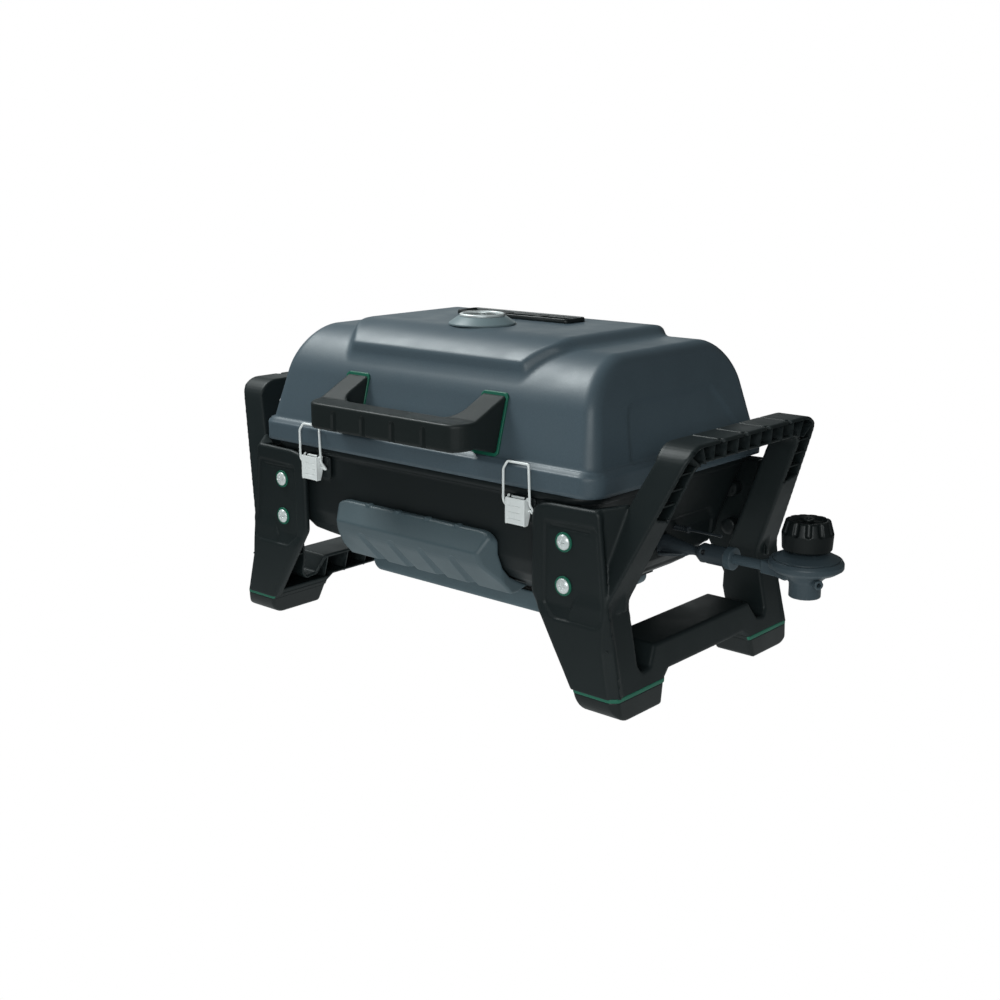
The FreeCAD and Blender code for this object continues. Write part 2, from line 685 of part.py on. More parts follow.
def leg_band(inner_inset, outer_inset):
    """The front view of the right leg frame's loop: feet, waist and arms leaning out to the grip."""
    outer_x, _, waist_z = LEG_WAIST
    a, b = outer_inset, inner_inset
    outline = [
        (236 + b, 0, 4),
        (278 - a, 0, 6),
        (276 - a, 24),
        (outer_x - a, waist_z, 20),
        (LEG_OUTER_TOP - a, 262, 8),
        (LEG_OUTER_TOP - a, LEG_TOP, 2),
        (285 + b, LEG_TOP, 2),
        (285 + b, 253, 8),
        (217 + b, 103, 20),
        (215 + b, 61),
        (224 + b, 24),
    ]
    return prism("xz", outline, -180, 180)


def bolt_plate():
    """The right front plate that the firebox hangs from, with its raised panel."""
    outline = [(169, 112), (169, 204, 12), (248, 204, 6), (258, 118), (276, 24), (224, 24), (183, 90)]
    plate = prism("xz", outline, PLATE_FACE, PLATE_FACE + PLATE_THICK)
    foot = [(PLATE_FACE, 24), (-163.3, 24.6), (-160.2, 92), (PLATE_FACE, 104)]
    wedge = prism("yz", foot, 215, 280).common(prism("xz", outline, -170, -150))
    panel = [(184.5, 106, 4), (184.5, 188, 4), (246, 188, 4), (252, 99, 4), (193, 96, 4)]
    return plate.fuse([wedge, prism("xz", panel, PLATE_FACE - 1.0, PLATE_FACE)])


def ribs_in(pocket, x_range, stations):
    """Thin ribs across a pocket: stations are (y, z) and the rib's tilt about X in degrees."""
    ribs = []
    for y, z, tilt in stations:
        rib = box(x_range, (-45, 45), (-0.9, 0.9))
        rib.rotate(V(0, 0, 0), X, tilt)
        rib.translate(V(0, y, z))
        ribs.append(rib.common(pocket))
    return ribs


def leg_pockets():
    """The hollow behind the posts and bar, open inwards, and the channel in the grip, open outwards."""
    wall = 3.5
    low = leg_loop(wall).common(leg_band(-20, wall)).common(box((190, 330), (-170, 170), (32, 196)))
    low_stations = [(s * 140, z, 0) for s in (-1, 1) for z in (70, 105, 140, 172)]
    low_stations += [(y, 46, 90) for y in (-66, -33, 0, 33, 66)]
    low = low.cut(ribs_in(low, (190, 330), low_stations))
    high = leg_loop(wall).common(leg_band(wall, -20)).common(box((200, 345), (-170, 170), (203, 280)))
    high_stations = [(s * 122, z, s * 10) for s in (-1, 1) for z in (219, 236)]
    high_stations += [(s * 104, 257, s * 45) for s in (-1, 1)]
    high_stations += [(y, 260, 90) for y in range(-84, 85, 21)]
    high = high.cut(ribs_in(high, (200, 345), high_stations))
    return [low, high]


def leg_solid():
    return leg_loop(0).common(leg_band(0, 0))


def leg_frame():
    loop = leg_solid().cut(leg_pockets())
    loop = loop.fuse(front_and_back(bolt_plate()))
    loop = loop.common(box((150, 340), (-175, 175), (FOOT_SEAM[1], 280)))
    cuts = []
    for y in (-63, -21, 21, 63):
        cuts.append(box((280, 330), (y - 1.2, y + 1.2), (LEG_TOP - 1.5, LEG_TOP + 1)))
        cuts.append(cyl(3.2, V(317, y, LEG_TOP - 1), V(330, y, LEG_TOP - 1)))
    for z in BOLT_ZS:
        cuts += front_and_back(cyl(3.3, V(BOLT_X, -170, z), V(BOLT_X, -145, z)))
    return loop.cut(cuts)


def foot_and_seam():
    """The right front foot, and the green strip between it and the leg frame."""
    low, top = FOOT_SEAM
    solid = leg_solid()
    foot = solid.common(box((200, 300), (-180, 0), (0, low)))
    seam = solid.common(box((200, 300), (-180, 0), (low, top)))
    return foot, seam


def bolts_and_washers():
    face = PLATE_FACE - 1.0
    bolts, washers = [], []
    for z in BOLT_ZS:
        washer = ring(9.9, 3.2, V(BOLT_X, face - 1.2, z), V(BOLT_X, face, z))
        head = cyl(8.0, V(BOLT_X, face - 1.25, z), V(BOLT_X, face - 3.2, z))
        crown = cone(8.0, 5.2, V(BOLT_X, face - 3.2, z), V(BOLT_X, face - 4.6, z))
        shank = cyl(3.0, V(BOLT_X, face - 1.25, z), V(BOLT_X, -130, z))
        bolt = joined([head, crown, shank])
        for wide, tall in ((1.3, 9), (9, 1.3)):
            cross = box((BOLT_X - wide / 2, BOLT_X + wide / 2), (face - 5, face - 2.6),
                        (z - tall / 2, z + tall / 2))
            bolt = bolt.cut(cross)
        bolts += front_and_back(bolt)
        washers += front_and_back(washer)
    bolts += [other_side(b) for b in bolts]
    washers += [other_side(w) for w in washers]
    return group(bolts), group(washers)


# Regulator, on the vertical axis at REGULATOR_X


def regulator_parts():
    centre = (REGULATOR_X, GAS_Y)

    def at(z):
        return V(REGULATOR_X, GAS_Y, z)

    def along(x):
        return V(x, GAS_Y, GAS_Z)

    vent, vent_way = V(REGULATOR_X + 14, GAS_Y - 10, 125), V(10, -7, 0)
    body = turned([(0, SOCKET_TOP), (SOCKET_R, SOCKET_TOP), (SOCKET_R + 0.4, 123, 3), (24, 130, 4),
                   (31, 132, 4), (DISC_R, 136, 2), (DISC_R, 141, 2), (34.8, 144.5, 2), (33.2, 144.5),
                   (33.2, 140), (0, 140)], centre)
    arm = prism("xy", [(322, GAS_Y - 7, 3), (345, GAS_Y - 15), (345, GAS_Y + 15), (322, GAS_Y + 7, 3)],
                121, 135)
    body = body.fuse([arm, ring(SOCKET_R, SOCKET_THREAD_R, at(SOCKET_Z), at(SOCKET_TOP + 2)),
                      cyl(4.6, vent, vent + vent_way)])
    body = body.cut([cyl(2.0, vent + vent_way * 0.2, vent + vent_way * 1.1),
                     cyl(5.3, along(320), along(334)),
                     cyl(SOCKET_THREAD_R, at(SOCKET_Z - 1), at(SOCKET_TOP)),
                     ring(8.6, 5.4, at(SOCKET_TOP - 0.1), at(SOCKET_TOP + 2.6)),
                     cyl(4.0, at(SOCKET_TOP - 1), at(141))])
    cover = turned([(4.6, 140.9), (32.8, 140.9), (32.8, 145), (24, 150, 25), (12, 152.4), (4.6, 152.4)],
                   centre)
    diaphragm = turned([(4.6, 140.1), (32.8, 140.1), (32.8, 140.8), (4.6, 140.8)], centre)
    stem = cyl(3.9, at(127), at(KNOB_Z[0] + 5))
    pin = cyl(3.9, at(SOCKET_TOP + 1), at(126.9))
    seal = ring(8.5, 5.5, at(SOCKET_TOP + 0.5), at(SOCKET_TOP + 2.5))
    face = SLEEVE_END + 0.6
    tube = ring(5.25, 3.6, along(face + 2.5), along(334))
    collar = joined([cyl(12.0, along(face), along(face + 8)), cyl(8.7, along(face - 9), along(face + 0.1))])
    collar = collar.cut([cyl(5.3, along(face + 2.4), along(face + 9)),
                         cyl(3.0, along(face - 10), along(face + 9))])
    nozzle = joined([cyl(2.95, along(face - 15), along(face + 2.3)),
                     cone(1.6, 2.95, along(face - 19), along(face - 15))])
    nozzle = nozzle.cut(cyl(0.7, along(face - 20), along(face + 3)))
    return {
        "regulator_body": body,
        "regulator_cover": cover,
        "regulator_diaphragm": diaphragm,
        "regulator_tube": tube,
        "tube_collar": collar,
        "gas_nozzle": nozzle,
        "socket_pin": pin,
        "socket_seal": seal,
        "knob_stem": stem,
        "control_knob": control_knob(centre),
    }


def control_knob(centre):
    """The knob: twelve scallops round its shoulder and a dished top with a raised hub."""
    low, top = KNOB_Z
    solid = turned([(0, low), (KNOB_R - 1, low, 2), (KNOB_R, low + 17), (KNOB_R - 3.5, top, 2),
                    (KNOB_R - 7, top, 1), (KNOB_R - 8.5, top - 3), (0, top - 3)], centre)
    cuts = []
    for k in range(12):
        turn = math.pi * 2 * k / 12
        way = V(math.cos(turn), math.sin(turn), 0)
        foot = V(*centre, low + 20) + way * (KNOB_R + 0.6)
        cuts.append(cyl(3.0, foot, V(*centre, top + 2) + way * (KNOB_R - 3.2)))
        cuts.append(Part.makeSphere(3.0, foot))
    cuts.append(cyl(3.95, V(*centre, low - 1), V(*centre, low + 5.05)))
    hub = cyl(6, V(*centre, top - 3.5), V(*centre, top - 0.8))
    return solid.cut(cuts).fuse(hub.cut(cyl(3, V(*centre, top - 2.5), V(*centre, top))))


# All sub-parts


def all_nodes():
    nodes = {
        "lid_shell": lid_shell(),
        "lid_handle": lid_handle(),
        "lid_handle_screws": handle_screws(),
        "lid_trim": lid_trim(),
        "firebox": firebox(),
        "cooking_grate": cooking_grate(),
        "heat_plate": heat_plate(),
        "burner": burner(),
        "burner_bracket": burner_bracket(),
        "venturi": venturi(),
        "electrode": electrode(),
        "drip_tray": drip_tray(),
        "front_shield": front_shield(),
        "shield_screws": shield_screws(),
    }
    nodes.update(gauge_parts())
    nodes.update(regulator_parts())
    nodes["leg_bolts"], nodes["leg_bolt_washers"] = bolts_and_washers()
    bracket, lever, pin_right, bail = latch_parts()
    hinge_pins = []
    for side, x in (("left", -1), ("right", 1)):
        base, leaf, pin = hinge_parts(x * HINGE_X)
        nodes["hinge_base_" + side] = base
        nodes["hinge_leaf_" + side] = leaf
        hinge_pins.append(pin)
    nodes["hinge_pins"] = group(hinge_pins)
    nodes["latch_pins"] = group([pin_right, other_side(pin_right)])
    frame, rail, gasket = leg_frame(), tray_rail(), handle_gasket()
    foot, seam = foot_and_seam()
    pairs = {"leg_frame": frame, "tray_rail": rail, "handle_gasket": gasket,
             "latch_bracket": bracket, "latch_lever": lever, "latch_bail": bail}
    for place, solids in (("front", (foot, seam)), ("back", [front_and_back(s)[1] for s in (foot, seam)])):
        pairs["foot_" + place], pairs["foot_seam_" + place] = solids
    for name, shape in pairs.items():
        nodes[name + "_right"] = shape
        nodes[name + "_left"] = other_side(shape)
    return nodes


os.makedirs("parts", exist_ok=True)
for node, shape in all_nodes().items():
    placed = shape.copy()
    placed.translate(ORIGIN)
    placed.exportStep(f"parts/{node}.step")
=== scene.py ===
"""Portable tabletop gas grill: the visible model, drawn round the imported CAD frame.

Shapes are drawn in millimetres about the middle of the feet, as the CAD source does, and moved to
the row frame in metres when they become meshes. Moulded and cast pieces are given as distance
fields, which are negative inside, and turned into quad meshes by surface().
"""

import math

import bpy
import numpy as np
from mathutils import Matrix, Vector


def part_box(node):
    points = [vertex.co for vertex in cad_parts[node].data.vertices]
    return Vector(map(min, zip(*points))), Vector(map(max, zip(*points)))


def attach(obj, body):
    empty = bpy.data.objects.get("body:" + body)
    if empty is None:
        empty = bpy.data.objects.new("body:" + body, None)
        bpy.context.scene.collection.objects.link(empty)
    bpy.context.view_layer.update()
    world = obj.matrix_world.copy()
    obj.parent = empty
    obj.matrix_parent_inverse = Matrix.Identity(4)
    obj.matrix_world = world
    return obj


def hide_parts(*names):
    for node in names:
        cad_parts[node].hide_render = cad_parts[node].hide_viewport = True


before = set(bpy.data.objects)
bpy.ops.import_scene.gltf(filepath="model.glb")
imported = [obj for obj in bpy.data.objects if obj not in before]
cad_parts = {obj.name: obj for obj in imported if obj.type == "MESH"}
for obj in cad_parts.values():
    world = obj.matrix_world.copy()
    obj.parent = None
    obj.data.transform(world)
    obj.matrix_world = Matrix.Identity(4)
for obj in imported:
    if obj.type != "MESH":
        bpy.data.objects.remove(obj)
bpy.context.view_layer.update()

LID_LOW, LID_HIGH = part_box("lid_shell")
ORIGIN = np.array([(LID_LOW[0] + LID_HIGH[0]) / 2, (LID_LOW[1] + LID_HIGH[1]) / 2, 0.0])
MM = 0.001
FINE = 1.0  # grid size factor
ARC_STEP = 0.16  # radians between the points of a rounded corner
TURNED_EDGE = 40  # degrees from which an edge of a turned piece stays sharp

# ------ distance fields


def rmax(a, b, r):
    """Intersection of two fields, its convex edge rounded to radius r."""
    return np.minimum(-r, np.maximum(a, b)) + np.hypot(np.maximum(r + a, 0), np.maximum(r + b, 0))


def rmin(a, b, r):
    """Union of two fields, its inner corner filled to radius r."""
    return -rmax(-a, -b, r)


def cut(a, b, r=0.0):
    return rmax(a, -b, r) if r else np.maximum(a, -b)


def span(u, low, high):
    return np.maximum(low - u, u - high)


def rrect(u, v, half_u, half_v, r):
    """Rounded rectangle about the origin."""
    a, b = np.abs(u) - half_u + r, np.abs(v) - half_v + r
    return np.minimum(np.maximum(a, b), 0) + np.hypot(np.maximum(a, 0), np.maximum(b, 0)) - r


def block(x, y, z, xs, ys, zs, r=0.0):
    """A box from its (low, high) pairs, its edges rounded to radius r."""
    d = [span(u, lo, hi) + r for u, (lo, hi) in ((x, xs), (y, ys), (z, zs))]
    outside = np.sqrt(sum(np.maximum(q, 0) ** 2 for q in d))
    return outside + np.minimum(np.maximum(np.maximum(d[0], d[1]), d[2]), 0) - r


def arcs(points):
    """Corners (u, v) or (u, v, radius) to a list of points, the rounded ones as short arcs."""
    out = []
    count = len(points)
    for i, point in enumerate(points):
        here = Vector(point[:2])
        radius = point[2] if len(point) > 2 else 0
        if not radius:
            out.append(tuple(here))
            continue
        back = (Vector(points[i - 1][:2]) - here).normalized()
        ahead = (Vector(points[(i + 1) % count][:2]) - here).normalized()
        half = back.angle(ahead) / 2
        centre = here + (back + ahead).normalized() * (radius / math.sin(half))
        reach = radius / math.tan(half)
        start, end = here + back * reach, here + ahead * reach
        first = math.atan2(start.y - centre.y, start.x - centre.x)
        turn = math.atan2(end.y - centre.y, end.x - centre.x) - first
        turn = (turn + math.pi) % (2 * math.pi) - math.pi
        steps = max(3, int(abs(turn) / ARC_STEP))
        for k in range(steps + 1):
            angle = first + turn * k / steps
            out.append((centre.x + radius * math.cos(angle), centre.y + radius * math.sin(angle)))
    return out


def polygon(u, v, points):
    """Signed distance to a closed outline in the (u, v) plane."""
    outline = arcs(points)
    u, v = np.broadcast_arrays(u, v)
    best = np.full(u.shape, np.inf)
    inside = np.zeros(u.shape, bool)
    for (au, av), (bu, bv) in zip(outline, outline[1:] + outline[:1]):
        eu, ev = bu - au, bv - av
        length = eu * eu + ev * ev
        if length < 1e-12:
            continue
        wu, wv = u - au, v - av
        t = np.clip((wu * eu + wv * ev) / length, 0, 1)
        best = np.minimum(best, (wu - eu * t) ** 2 + (wv - ev * t) ** 2)
        if ev:
            inside ^= ((av > v) != (bv > v)) & (u < au + (v - av) * eu / ev)
    return np.where(inside, -1.0, 1.0) * np.sqrt(best)


def tube(x, y, z, start, end, r_start, r_end=None, edge=0.0):
    """A cylinder or cone from start to end."""
    start, end = np.array(start, float), np.array(end, float)
    length = np.linalg.norm(end - start)
    way = (end - start) / length
    dx, dy, dz = x - start[0], y - start[1], z - start[2]
    along = dx * way[0] + dy * way[1] + dz * way[2]
    radial = np.sqrt(np.maximum(dx * dx + dy * dy + dz * dz - along * along, 0))
    r_end = r_start if r_end is None else r_end
    slope = (r_end - r_start) / length
    side = (radial - r_start - slope * along) / math.hypot(1, slope)
    ends = span(along, 0, length)
    return rmax(side, ends, edge) if edge else np.maximum(side, ends)


def smooth(t):
    t = np.clip(t, 0, 1)
    return t * t * (3 - 2 * t)


# ------ fields to meshes


def surface(field, low, high, step):
    """A quad mesh of the field's zero level: one vertex per cell, placed by its tangent planes."""
    step *= FINE
    low = np.array(low, float)
    counts = np.ceil((np.array(high, float) - low) / step).astype(int) + 1
    shapes = ((-1, 1, 1), (1, -1, 1), (1, 1, -1))
    axes = [(low[a] + step * np.arange(counts[a])).reshape(shapes[a]) for a in range(3)]
    values = np.broadcast_to(field(*axes), counts).astype(np.float32)
    inside = values < 0
    ids, points, normals, quads = [], [], [], []
    cells = counts - 1
    stride = np.array([cells[1] * cells[2], cells[2], 1])
    for a in range(3):
        b, c = (a + 1) % 3, (a + 2) % 3
        head = [slice(None)] * 3
        tail = [slice(None)] * 3
        head[a], tail[a] = slice(None, -1), slice(1, None)
        index = np.array(np.nonzero(inside[tuple(head)] != inside[tuple(tail)])).T
        if not len(index):
            continue
        after = index.copy()
        after[:, a] += 1
        v0, v1 = values[tuple(index.T)].astype(float), values[tuple(after.T)].astype(float)
        out_up = v0 < 0
        t = v0 / (v0 - v1)
        base = low + step * index
        unit = np.eye(3)[a] * step
        middle = field(*(base + unit * t[:, None]).T)
        same = (middle < 0) == (v0 < 0)
        lo_t, hi_t = np.where(same, t, 0.0), np.where(same, 1.0, t)
        lo_v, hi_v = np.where(same, middle, v0), np.where(same, v1, middle)
        gap = np.where(np.abs(lo_v - hi_v) < 1e-9, 1e-9, lo_v - hi_v)
        at = base + unit * (lo_t + (hi_t - lo_t) * np.clip(lo_v / gap, 0, 1))[:, None]
        way = gradient(field, at)
        corner = []
        whole = np.ones(len(index), bool)
        for db, dc in ((-1, -1), (0, -1), (0, 0), (-1, 0)):
            cell = index.copy()
            cell[:, b] += db
            cell[:, c] += dc
            valid = ((cell >= 0) & (cell < cells)).all(1)
            whole &= valid
            number = cell @ stride
            corner.append(number)
            ids.append(number[valid])
            points.append(at[valid])
            normals.append(way[valid])
        faces = np.stack(corner, 1)
        faces[~out_up] = faces[~out_up][:, ::-1]
        quads.append(faces[whole])
    ids, points, normals = np.concatenate(ids), np.concatenate(points), np.concatenate(normals)
    used, inverse = np.unique(ids, return_inverse=True)
    share = 1 / np.bincount(inverse)
    mass = np.stack([np.bincount(inverse, points[:, i]) for i in range(3)], 1) * share[:, None]
    offset = (normals * (points - mass[inverse])).sum(1)
    matrix = np.empty((len(used), 3, 3))
    right = np.empty((len(used), 3))
    for i in range(3):
        right[:, i] = np.bincount(inverse, normals[:, i] * offset) * share
        for j in range(3):
            matrix[:, i, j] = np.bincount(inverse, normals[:, i] * normals[:, j]) * share
    matrix += np.eye(3) * 0.03
    vertices = mass + np.linalg.solve(matrix, right[:, :, None])[:, :, 0]
    cell_low = low + step * np.stack(np.unravel_index(used, cells), 1)
    vertices = np.clip(vertices, cell_low, cell_low + step)
    lookup = np.full(int(cells.prod()), -1)
    lookup[used] = np.arange(len(used))
    return vertices, lookup[np.concatenate(quads)]


def gradient(field, at, reach=0.03):
    """Unit normals of the field at the points."""
    way = np.empty_like(at)
    for i in range(3):
        shift = np.eye(3)[i] * reach
        way[:, i] = field(*(at + shift).T) - field(*(at - shift).T)
    return way / np.maximum(np.linalg.norm(way, axis=1), 1e-12)[:, None]


def make_piece(name, vertices, faces, body, nodes, material, slot, smooth_angle=None):
    """A mesh object from millimetre points, riding on body and standing for the nodes."""
    mesh = bpy.data.meshes.new(name)
    count = np.array([len(f) for f in faces]) if isinstance(faces, list) else None
    mesh.vertices.add(len(vertices))
    mesh.vertices.foreach_set("co", (np.asarray(vertices, float) * MM + ORIGIN).ravel())
    if count is None:
        flat, count = faces.ravel(), np.full(len(faces), faces.shape[1])
    else:
        flat = np.concatenate([np.asarray(f) for f in faces])
    mesh.loops.add(len(flat))
    mesh.loops.foreach_set("vertex_index", flat.astype(np.int32))
    mesh.polygons.add(len(count))
    starts = np.concatenate([[0], np.cumsum(count)[:-1]]).astype(np.int32)
    mesh.polygons.foreach_set("loop_start", starts)
    mesh.update(calc_edges=True)
    mesh.validate()
    mesh.shade_smooth()
    if smooth_angle is not None:
        mesh.set_sharp_from_angle(angle=math.radians(smooth_angle))
    obj = bpy.data.objects.new(name, mesh)
    bpy.context.scene.collection.objects.link(obj)
    mesh.materials.append(material)
    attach(obj, body)
    if nodes:
        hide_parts(*nodes)
    return obj


def mirrored(vertices, faces, axis):
    """The mesh on the other side of the grill, across x (axis 0) or y (axis 1)."""
    flipped = vertices.copy()
    flipped[:, axis] *= -1
    return flipped, faces[:, ::-1]


def rim(faces):
    """The vertices on the open edge of a mesh."""
    sides = np.sort(np.stack([faces, np.roll(faces, -1, 1)], 2).reshape(-1, 2), 1)
    pairs, seen = np.unique(sides, axis=0, return_counts=True)
    return np.unique(pairs[seen == 1])


def thicken(obj, wall_mm):
    """Give an open shell a wall, inwards from its outside."""
    wall = obj.modifiers.new("wall", "SOLIDIFY")
    wall.thickness = wall_mm * MM
    wall.offset = -1


def join_meshes(meshes):
    shift = np.cumsum([0] + [len(m[0]) for m in meshes])
    faces = np.concatenate([np.asarray(m[1]) + s for m, s in zip(meshes, shift)])
    return np.concatenate([np.asarray(m[0], float) for m in meshes]), faces


PRISM_FACES = [[3, 2, 1, 0], [4, 5, 6, 7], [0, 1, 5, 4], [1, 2, 6, 5], [2, 3, 7, 6], [3, 0, 4, 7]]


def slab(corners, thick):
    """A thin plate: a four-sided outline in space, given a thickness."""
    corners = np.array(corners, float)
    normal = np.cross(corners[1] - corners[0], corners[2] - corners[1])
    normal *= thick / 2 / np.linalg.norm(normal)
    vertices = np.concatenate([corners - normal, corners + normal])
    return vertices, PRISM_FACES


def lathe(profile, centre, axis="z", steps=96):
    """A turned piece from (radius, height) corners, closed where they reach the axis."""
    outline = arcs(profile)
    rings, faces = [], []
    for k in range(steps):
        turn = 2 * math.pi * k / steps
        for r, h in outline:
            u, v = r * math.cos(turn), r * math.sin(turn)
            rings.append({"z": (u, v, h), "x": (h, u, v), "-y": (u, -h, v)}[axis])
    n = len(outline)
    for k in range(steps):
        for i in range(n):
            j = (i + 1) % n
            if outline[i][0] < 1e-6 and outline[j][0] < 1e-6:
                continue
            a, b = k * n, ((k + 1) % steps) * n
            faces.append([a + i, b + i, b + j, a + j])
    return np.array(rings) + np.array(centre), np.array(faces)


def turned(name, profile, centre, body, node, finish, slot, axis="z", steps=96):
    make_piece(name, *lathe(profile, centre, axis, steps), body, [node], finish, slot, TURNED_EDGE)


# ------ materials


def material(name, colour, rough, grain=0.6, bump=0.02, mottle=0.1, metallic=0.0, specular=0.5,
             wear=0.0, brushed=None, clear=False):
    """A finish in real scale: grain is the texture's size and bump its height, in millimetres."""
    mat = bpy.data.materials.new(name)
    mat.use_nodes = True
    nodes, links = mat.node_tree.nodes, mat.node_tree.links
    shader = nodes["Principled BSDF"]
    shader.inputs["Metallic"].default_value = metallic
    shader.inputs["Specular IOR Level"].default_value = specular
    place = nodes.new("ShaderNodeTexCoord").outputs["Object"]
    if brushed:
        stretch = nodes.new("ShaderNodeMapping")
        stretch.inputs["Scale"].default_value = brushed
        links.new(place, stretch.inputs["Vector"])
        place = stretch.outputs["Vector"]

    def noise(size_mm, detail=2.0, roughness=0.5):
        node = nodes.new("ShaderNodeTexNoise")
        node.inputs["Scale"].default_value = 1.0 / (size_mm * MM)
        node.inputs["Detail"].default_value = detail
        node.inputs["Roughness"].default_value = roughness
        links.new(place, node.inputs["Vector"])
        return node.outputs["Fac"]

    def ramp(source, low, high, at=(0.3, 0.7)):
        node = nodes.new("ShaderNodeMapRange")
        node.inputs["From Min"].default_value, node.inputs["From Max"].default_value = at
        node.inputs["To Min"].default_value, node.inputs["To Max"].default_value = low, high
        links.new(source, node.inputs["Value"])
        return node.outputs["Result"]

    def mix(factor, a, b, blend="MIX"):
        node = nodes.new("ShaderNodeMix")
        node.data_type = "RGBA"
        node.blend_type = blend
        for socket, value in (("Factor", factor), ("A", a), ("B", b)):
            target = [s for s in node.inputs if s.name == socket and s.enabled][0]
            if isinstance(value, bpy.types.NodeSocket):
                links.new(value, target)
            else:
                target.default_value = value
        return [s for s in node.outputs if s.enabled][0]

    fine, broad = noise(grain), noise(38.0, 3.0)
    dark = [c * (1 - mottle) for c in colour] + [1]
    light = [min(1, c * (1 + mottle)) for c in colour] + [1]
    tint = mix(ramp(fine, 0.0, 1.0), dark, light)
    clouded = mix(ramp(broad, 0.0, 0.35), tint, [c * 0.86 for c in colour] + [1])
    if wear:
        edge = nodes.new("ShaderNodeNewGeometry").outputs["Pointiness"]
        worn = nodes.new("ShaderNodeMath")
        worn.operation = "MULTIPLY"
        links.new(ramp(edge, 0.0, wear, (0.53, 0.62)), worn.inputs[0])
        links.new(ramp(noise(6.0, 4.0), 0.2, 1.0, (0.4, 0.6)), worn.inputs[1])
        bare = [min(1, c * 1.8 + 0.05) for c in colour] + [1]
        clouded = mix(worn.outputs["Value"], clouded, bare)
    links.new(clouded, shader.inputs["Base Color"])
    links.new(ramp(broad, rough - 0.05, rough + 0.06), shader.inputs["Roughness"])
    relief = nodes.new("ShaderNodeBump")
    relief.inputs["Strength"].default_value = 1.0
    relief.inputs["Distance"].default_value = bump * MM
    links.new(fine, relief.inputs["Height"])
    links.new(relief.outputs["Normal"], shader.inputs["Normal"])
    if clear:
        shader.inputs["Transmission Weight"].default_value = 1.0
    return mat


LID = material("lid_paint", (0.076, 0.108, 0.132), 0.42, 0.9, 0.03, 0.1, specular=0.5, wear=0.3)
# A lighter copy of the lid enamel for the gauge bezel: a painted highlight standing for the light
# on the lid's top.
LID_LIT = material("lid_paint_lit_top", (0.19, 0.25, 0.27), 0.38, 0.7, 0.02, 0.08, specular=0.5, wear=0.3)
BOX = material("firebox_paint", (0.0085, 0.0125, 0.0135), 0.42, 0.9, 0.03, 0.1, specular=0.4,
               wear=0.2)
SHIELD = material("shield_paint", (0.078, 0.113, 0.13), 0.42, 0.8, 0.02, 0.08, specular=0.45,
                  wear=0.3)
TRAY = material("tray_paint", (0.08, 0.12, 0.14), 0.45, 0.8, 0.02, 0.08, specular=0.4, wear=0.2)
PLASTIC = material("frame_plastic", (0.011, 0.0165, 0.0175), 0.45, 0.45, 0.03, 0.12,
                   specular=0.3, wear=0.25)
HANDLE = material("handle_plastic", (0.014, 0.019, 0.019), 0.45, 0.5, 0.04, 0.16, specular=0.3,
                  wear=0.25)
FOOT = material("foot_plastic", (0.009, 0.013, 0.0135), 0.36, 0.5, 0.02, 0.1, specular=0.4,
                wear=0.2)
KNOB = material("knob_plastic", (0.006, 0.009, 0.0095), 0.4, 0.4, 0.03, 0.12, specular=0.4,
                wear=0.2)
GREEN = material("seam_green", (0.005, 0.13, 0.078), 0.45, 0.5, 0.02, 0.1, wear=0.15)
RUBBER = material("seal_rubber", (0.02, 0.02, 0.02), 0.7, 0.4, 0.03, 0.1)
BRIGHT = material("latch_steel", (0.95, 0.98, 0.97), 0.35, 0.5, 0.006, 0.04, 0.03, brushed=(1, 1,
                  0.06))
PLATED = material("plated_steel", (0.9, 0.94, 0.94), 0.3, 0.5, 0.01, 0.05, 0.35)
HINGE = material("hinge_steel", (0.015, 0.019, 0.02), 0.45, 0.6, 0.02, 0.1, wear=0.3)
BURNER = material("burner_steel", (0.45, 0.43, 0.40), 0.35, 0.5, 0.01, 0.08, 1.0, brushed=(0.05,
                  1, 1))
IRON = material("grate_enamel", (0.013, 0.013, 0.014), 0.33, 2.0, 0.06, 0.15, wear=0.3)
SLATE = material("regulator_paint", (0.056, 0.08, 0.096), 0.4, 0.7, 0.04, 0.12, specular=0.45,
                 wear=0.3)
DARK_METAL = material("venturi_cast", (0.034, 0.046, 0.056), 0.42, 0.8, 0.05, 0.15,
                      specular=0.45, wear=0.3)
BRASS = material("brass", (0.70, 0.50, 0.20), 0.3, 0.5, 0.01, 0.05, 1.0)
CHROME = material("gauge_chrome", (0.86, 0.9, 0.9), 0.3, 0.8, 0.002, 0.02, 0.35)
FACE = material("gauge_face", (0.10, 0.115, 0.12), 0.5, 0.5, 0.005, 0.03)
GLASS = material("gauge_glass", (0.95, 0.97, 0.97), 0.08, 1.0, 0.001, 0.01, specular=0.3,
                 clear=True)
RED = material("needle_paint", (0.5, 0.03, 0.02), 0.4, 0.6, 0.01, 0.05)
CERAMIC = material("insulator_glaze", (0.03, 0.038, 0.045), 0.3, 0.6, 0.02, 0.1, specular=0.5)

CARRIED = {
    "cooking_grate": IRON, "heat_plate": BURNER, "burner": BURNER, "burner_bracket": HINGE,
    "hinge_base_left": HINGE, "hinge_base_right": HINGE, "hinge_leaf_left": HINGE,
    "hinge_leaf_right": HINGE, "tray_rail_left": HINGE, "tray_rail_right": HINGE,
    "socket_seal": RUBBER, "regulator_diaphragm": RUBBER, "latch_pins": BRIGHT,
    "shield_screws": PLATED, "lid_handle_screws": PLATED, "hinge_pins": PLATED,
    "gauge_nut": PLATED, "gauge_probe": PLATED, "knob_stem": PLATED,
    "gas_nozzle": BRASS, "socket_pin": BRASS, "gauge_dial": FACE, "gauge_lens": GLASS,
    "gauge_needle": RED,
}

# ------ lid

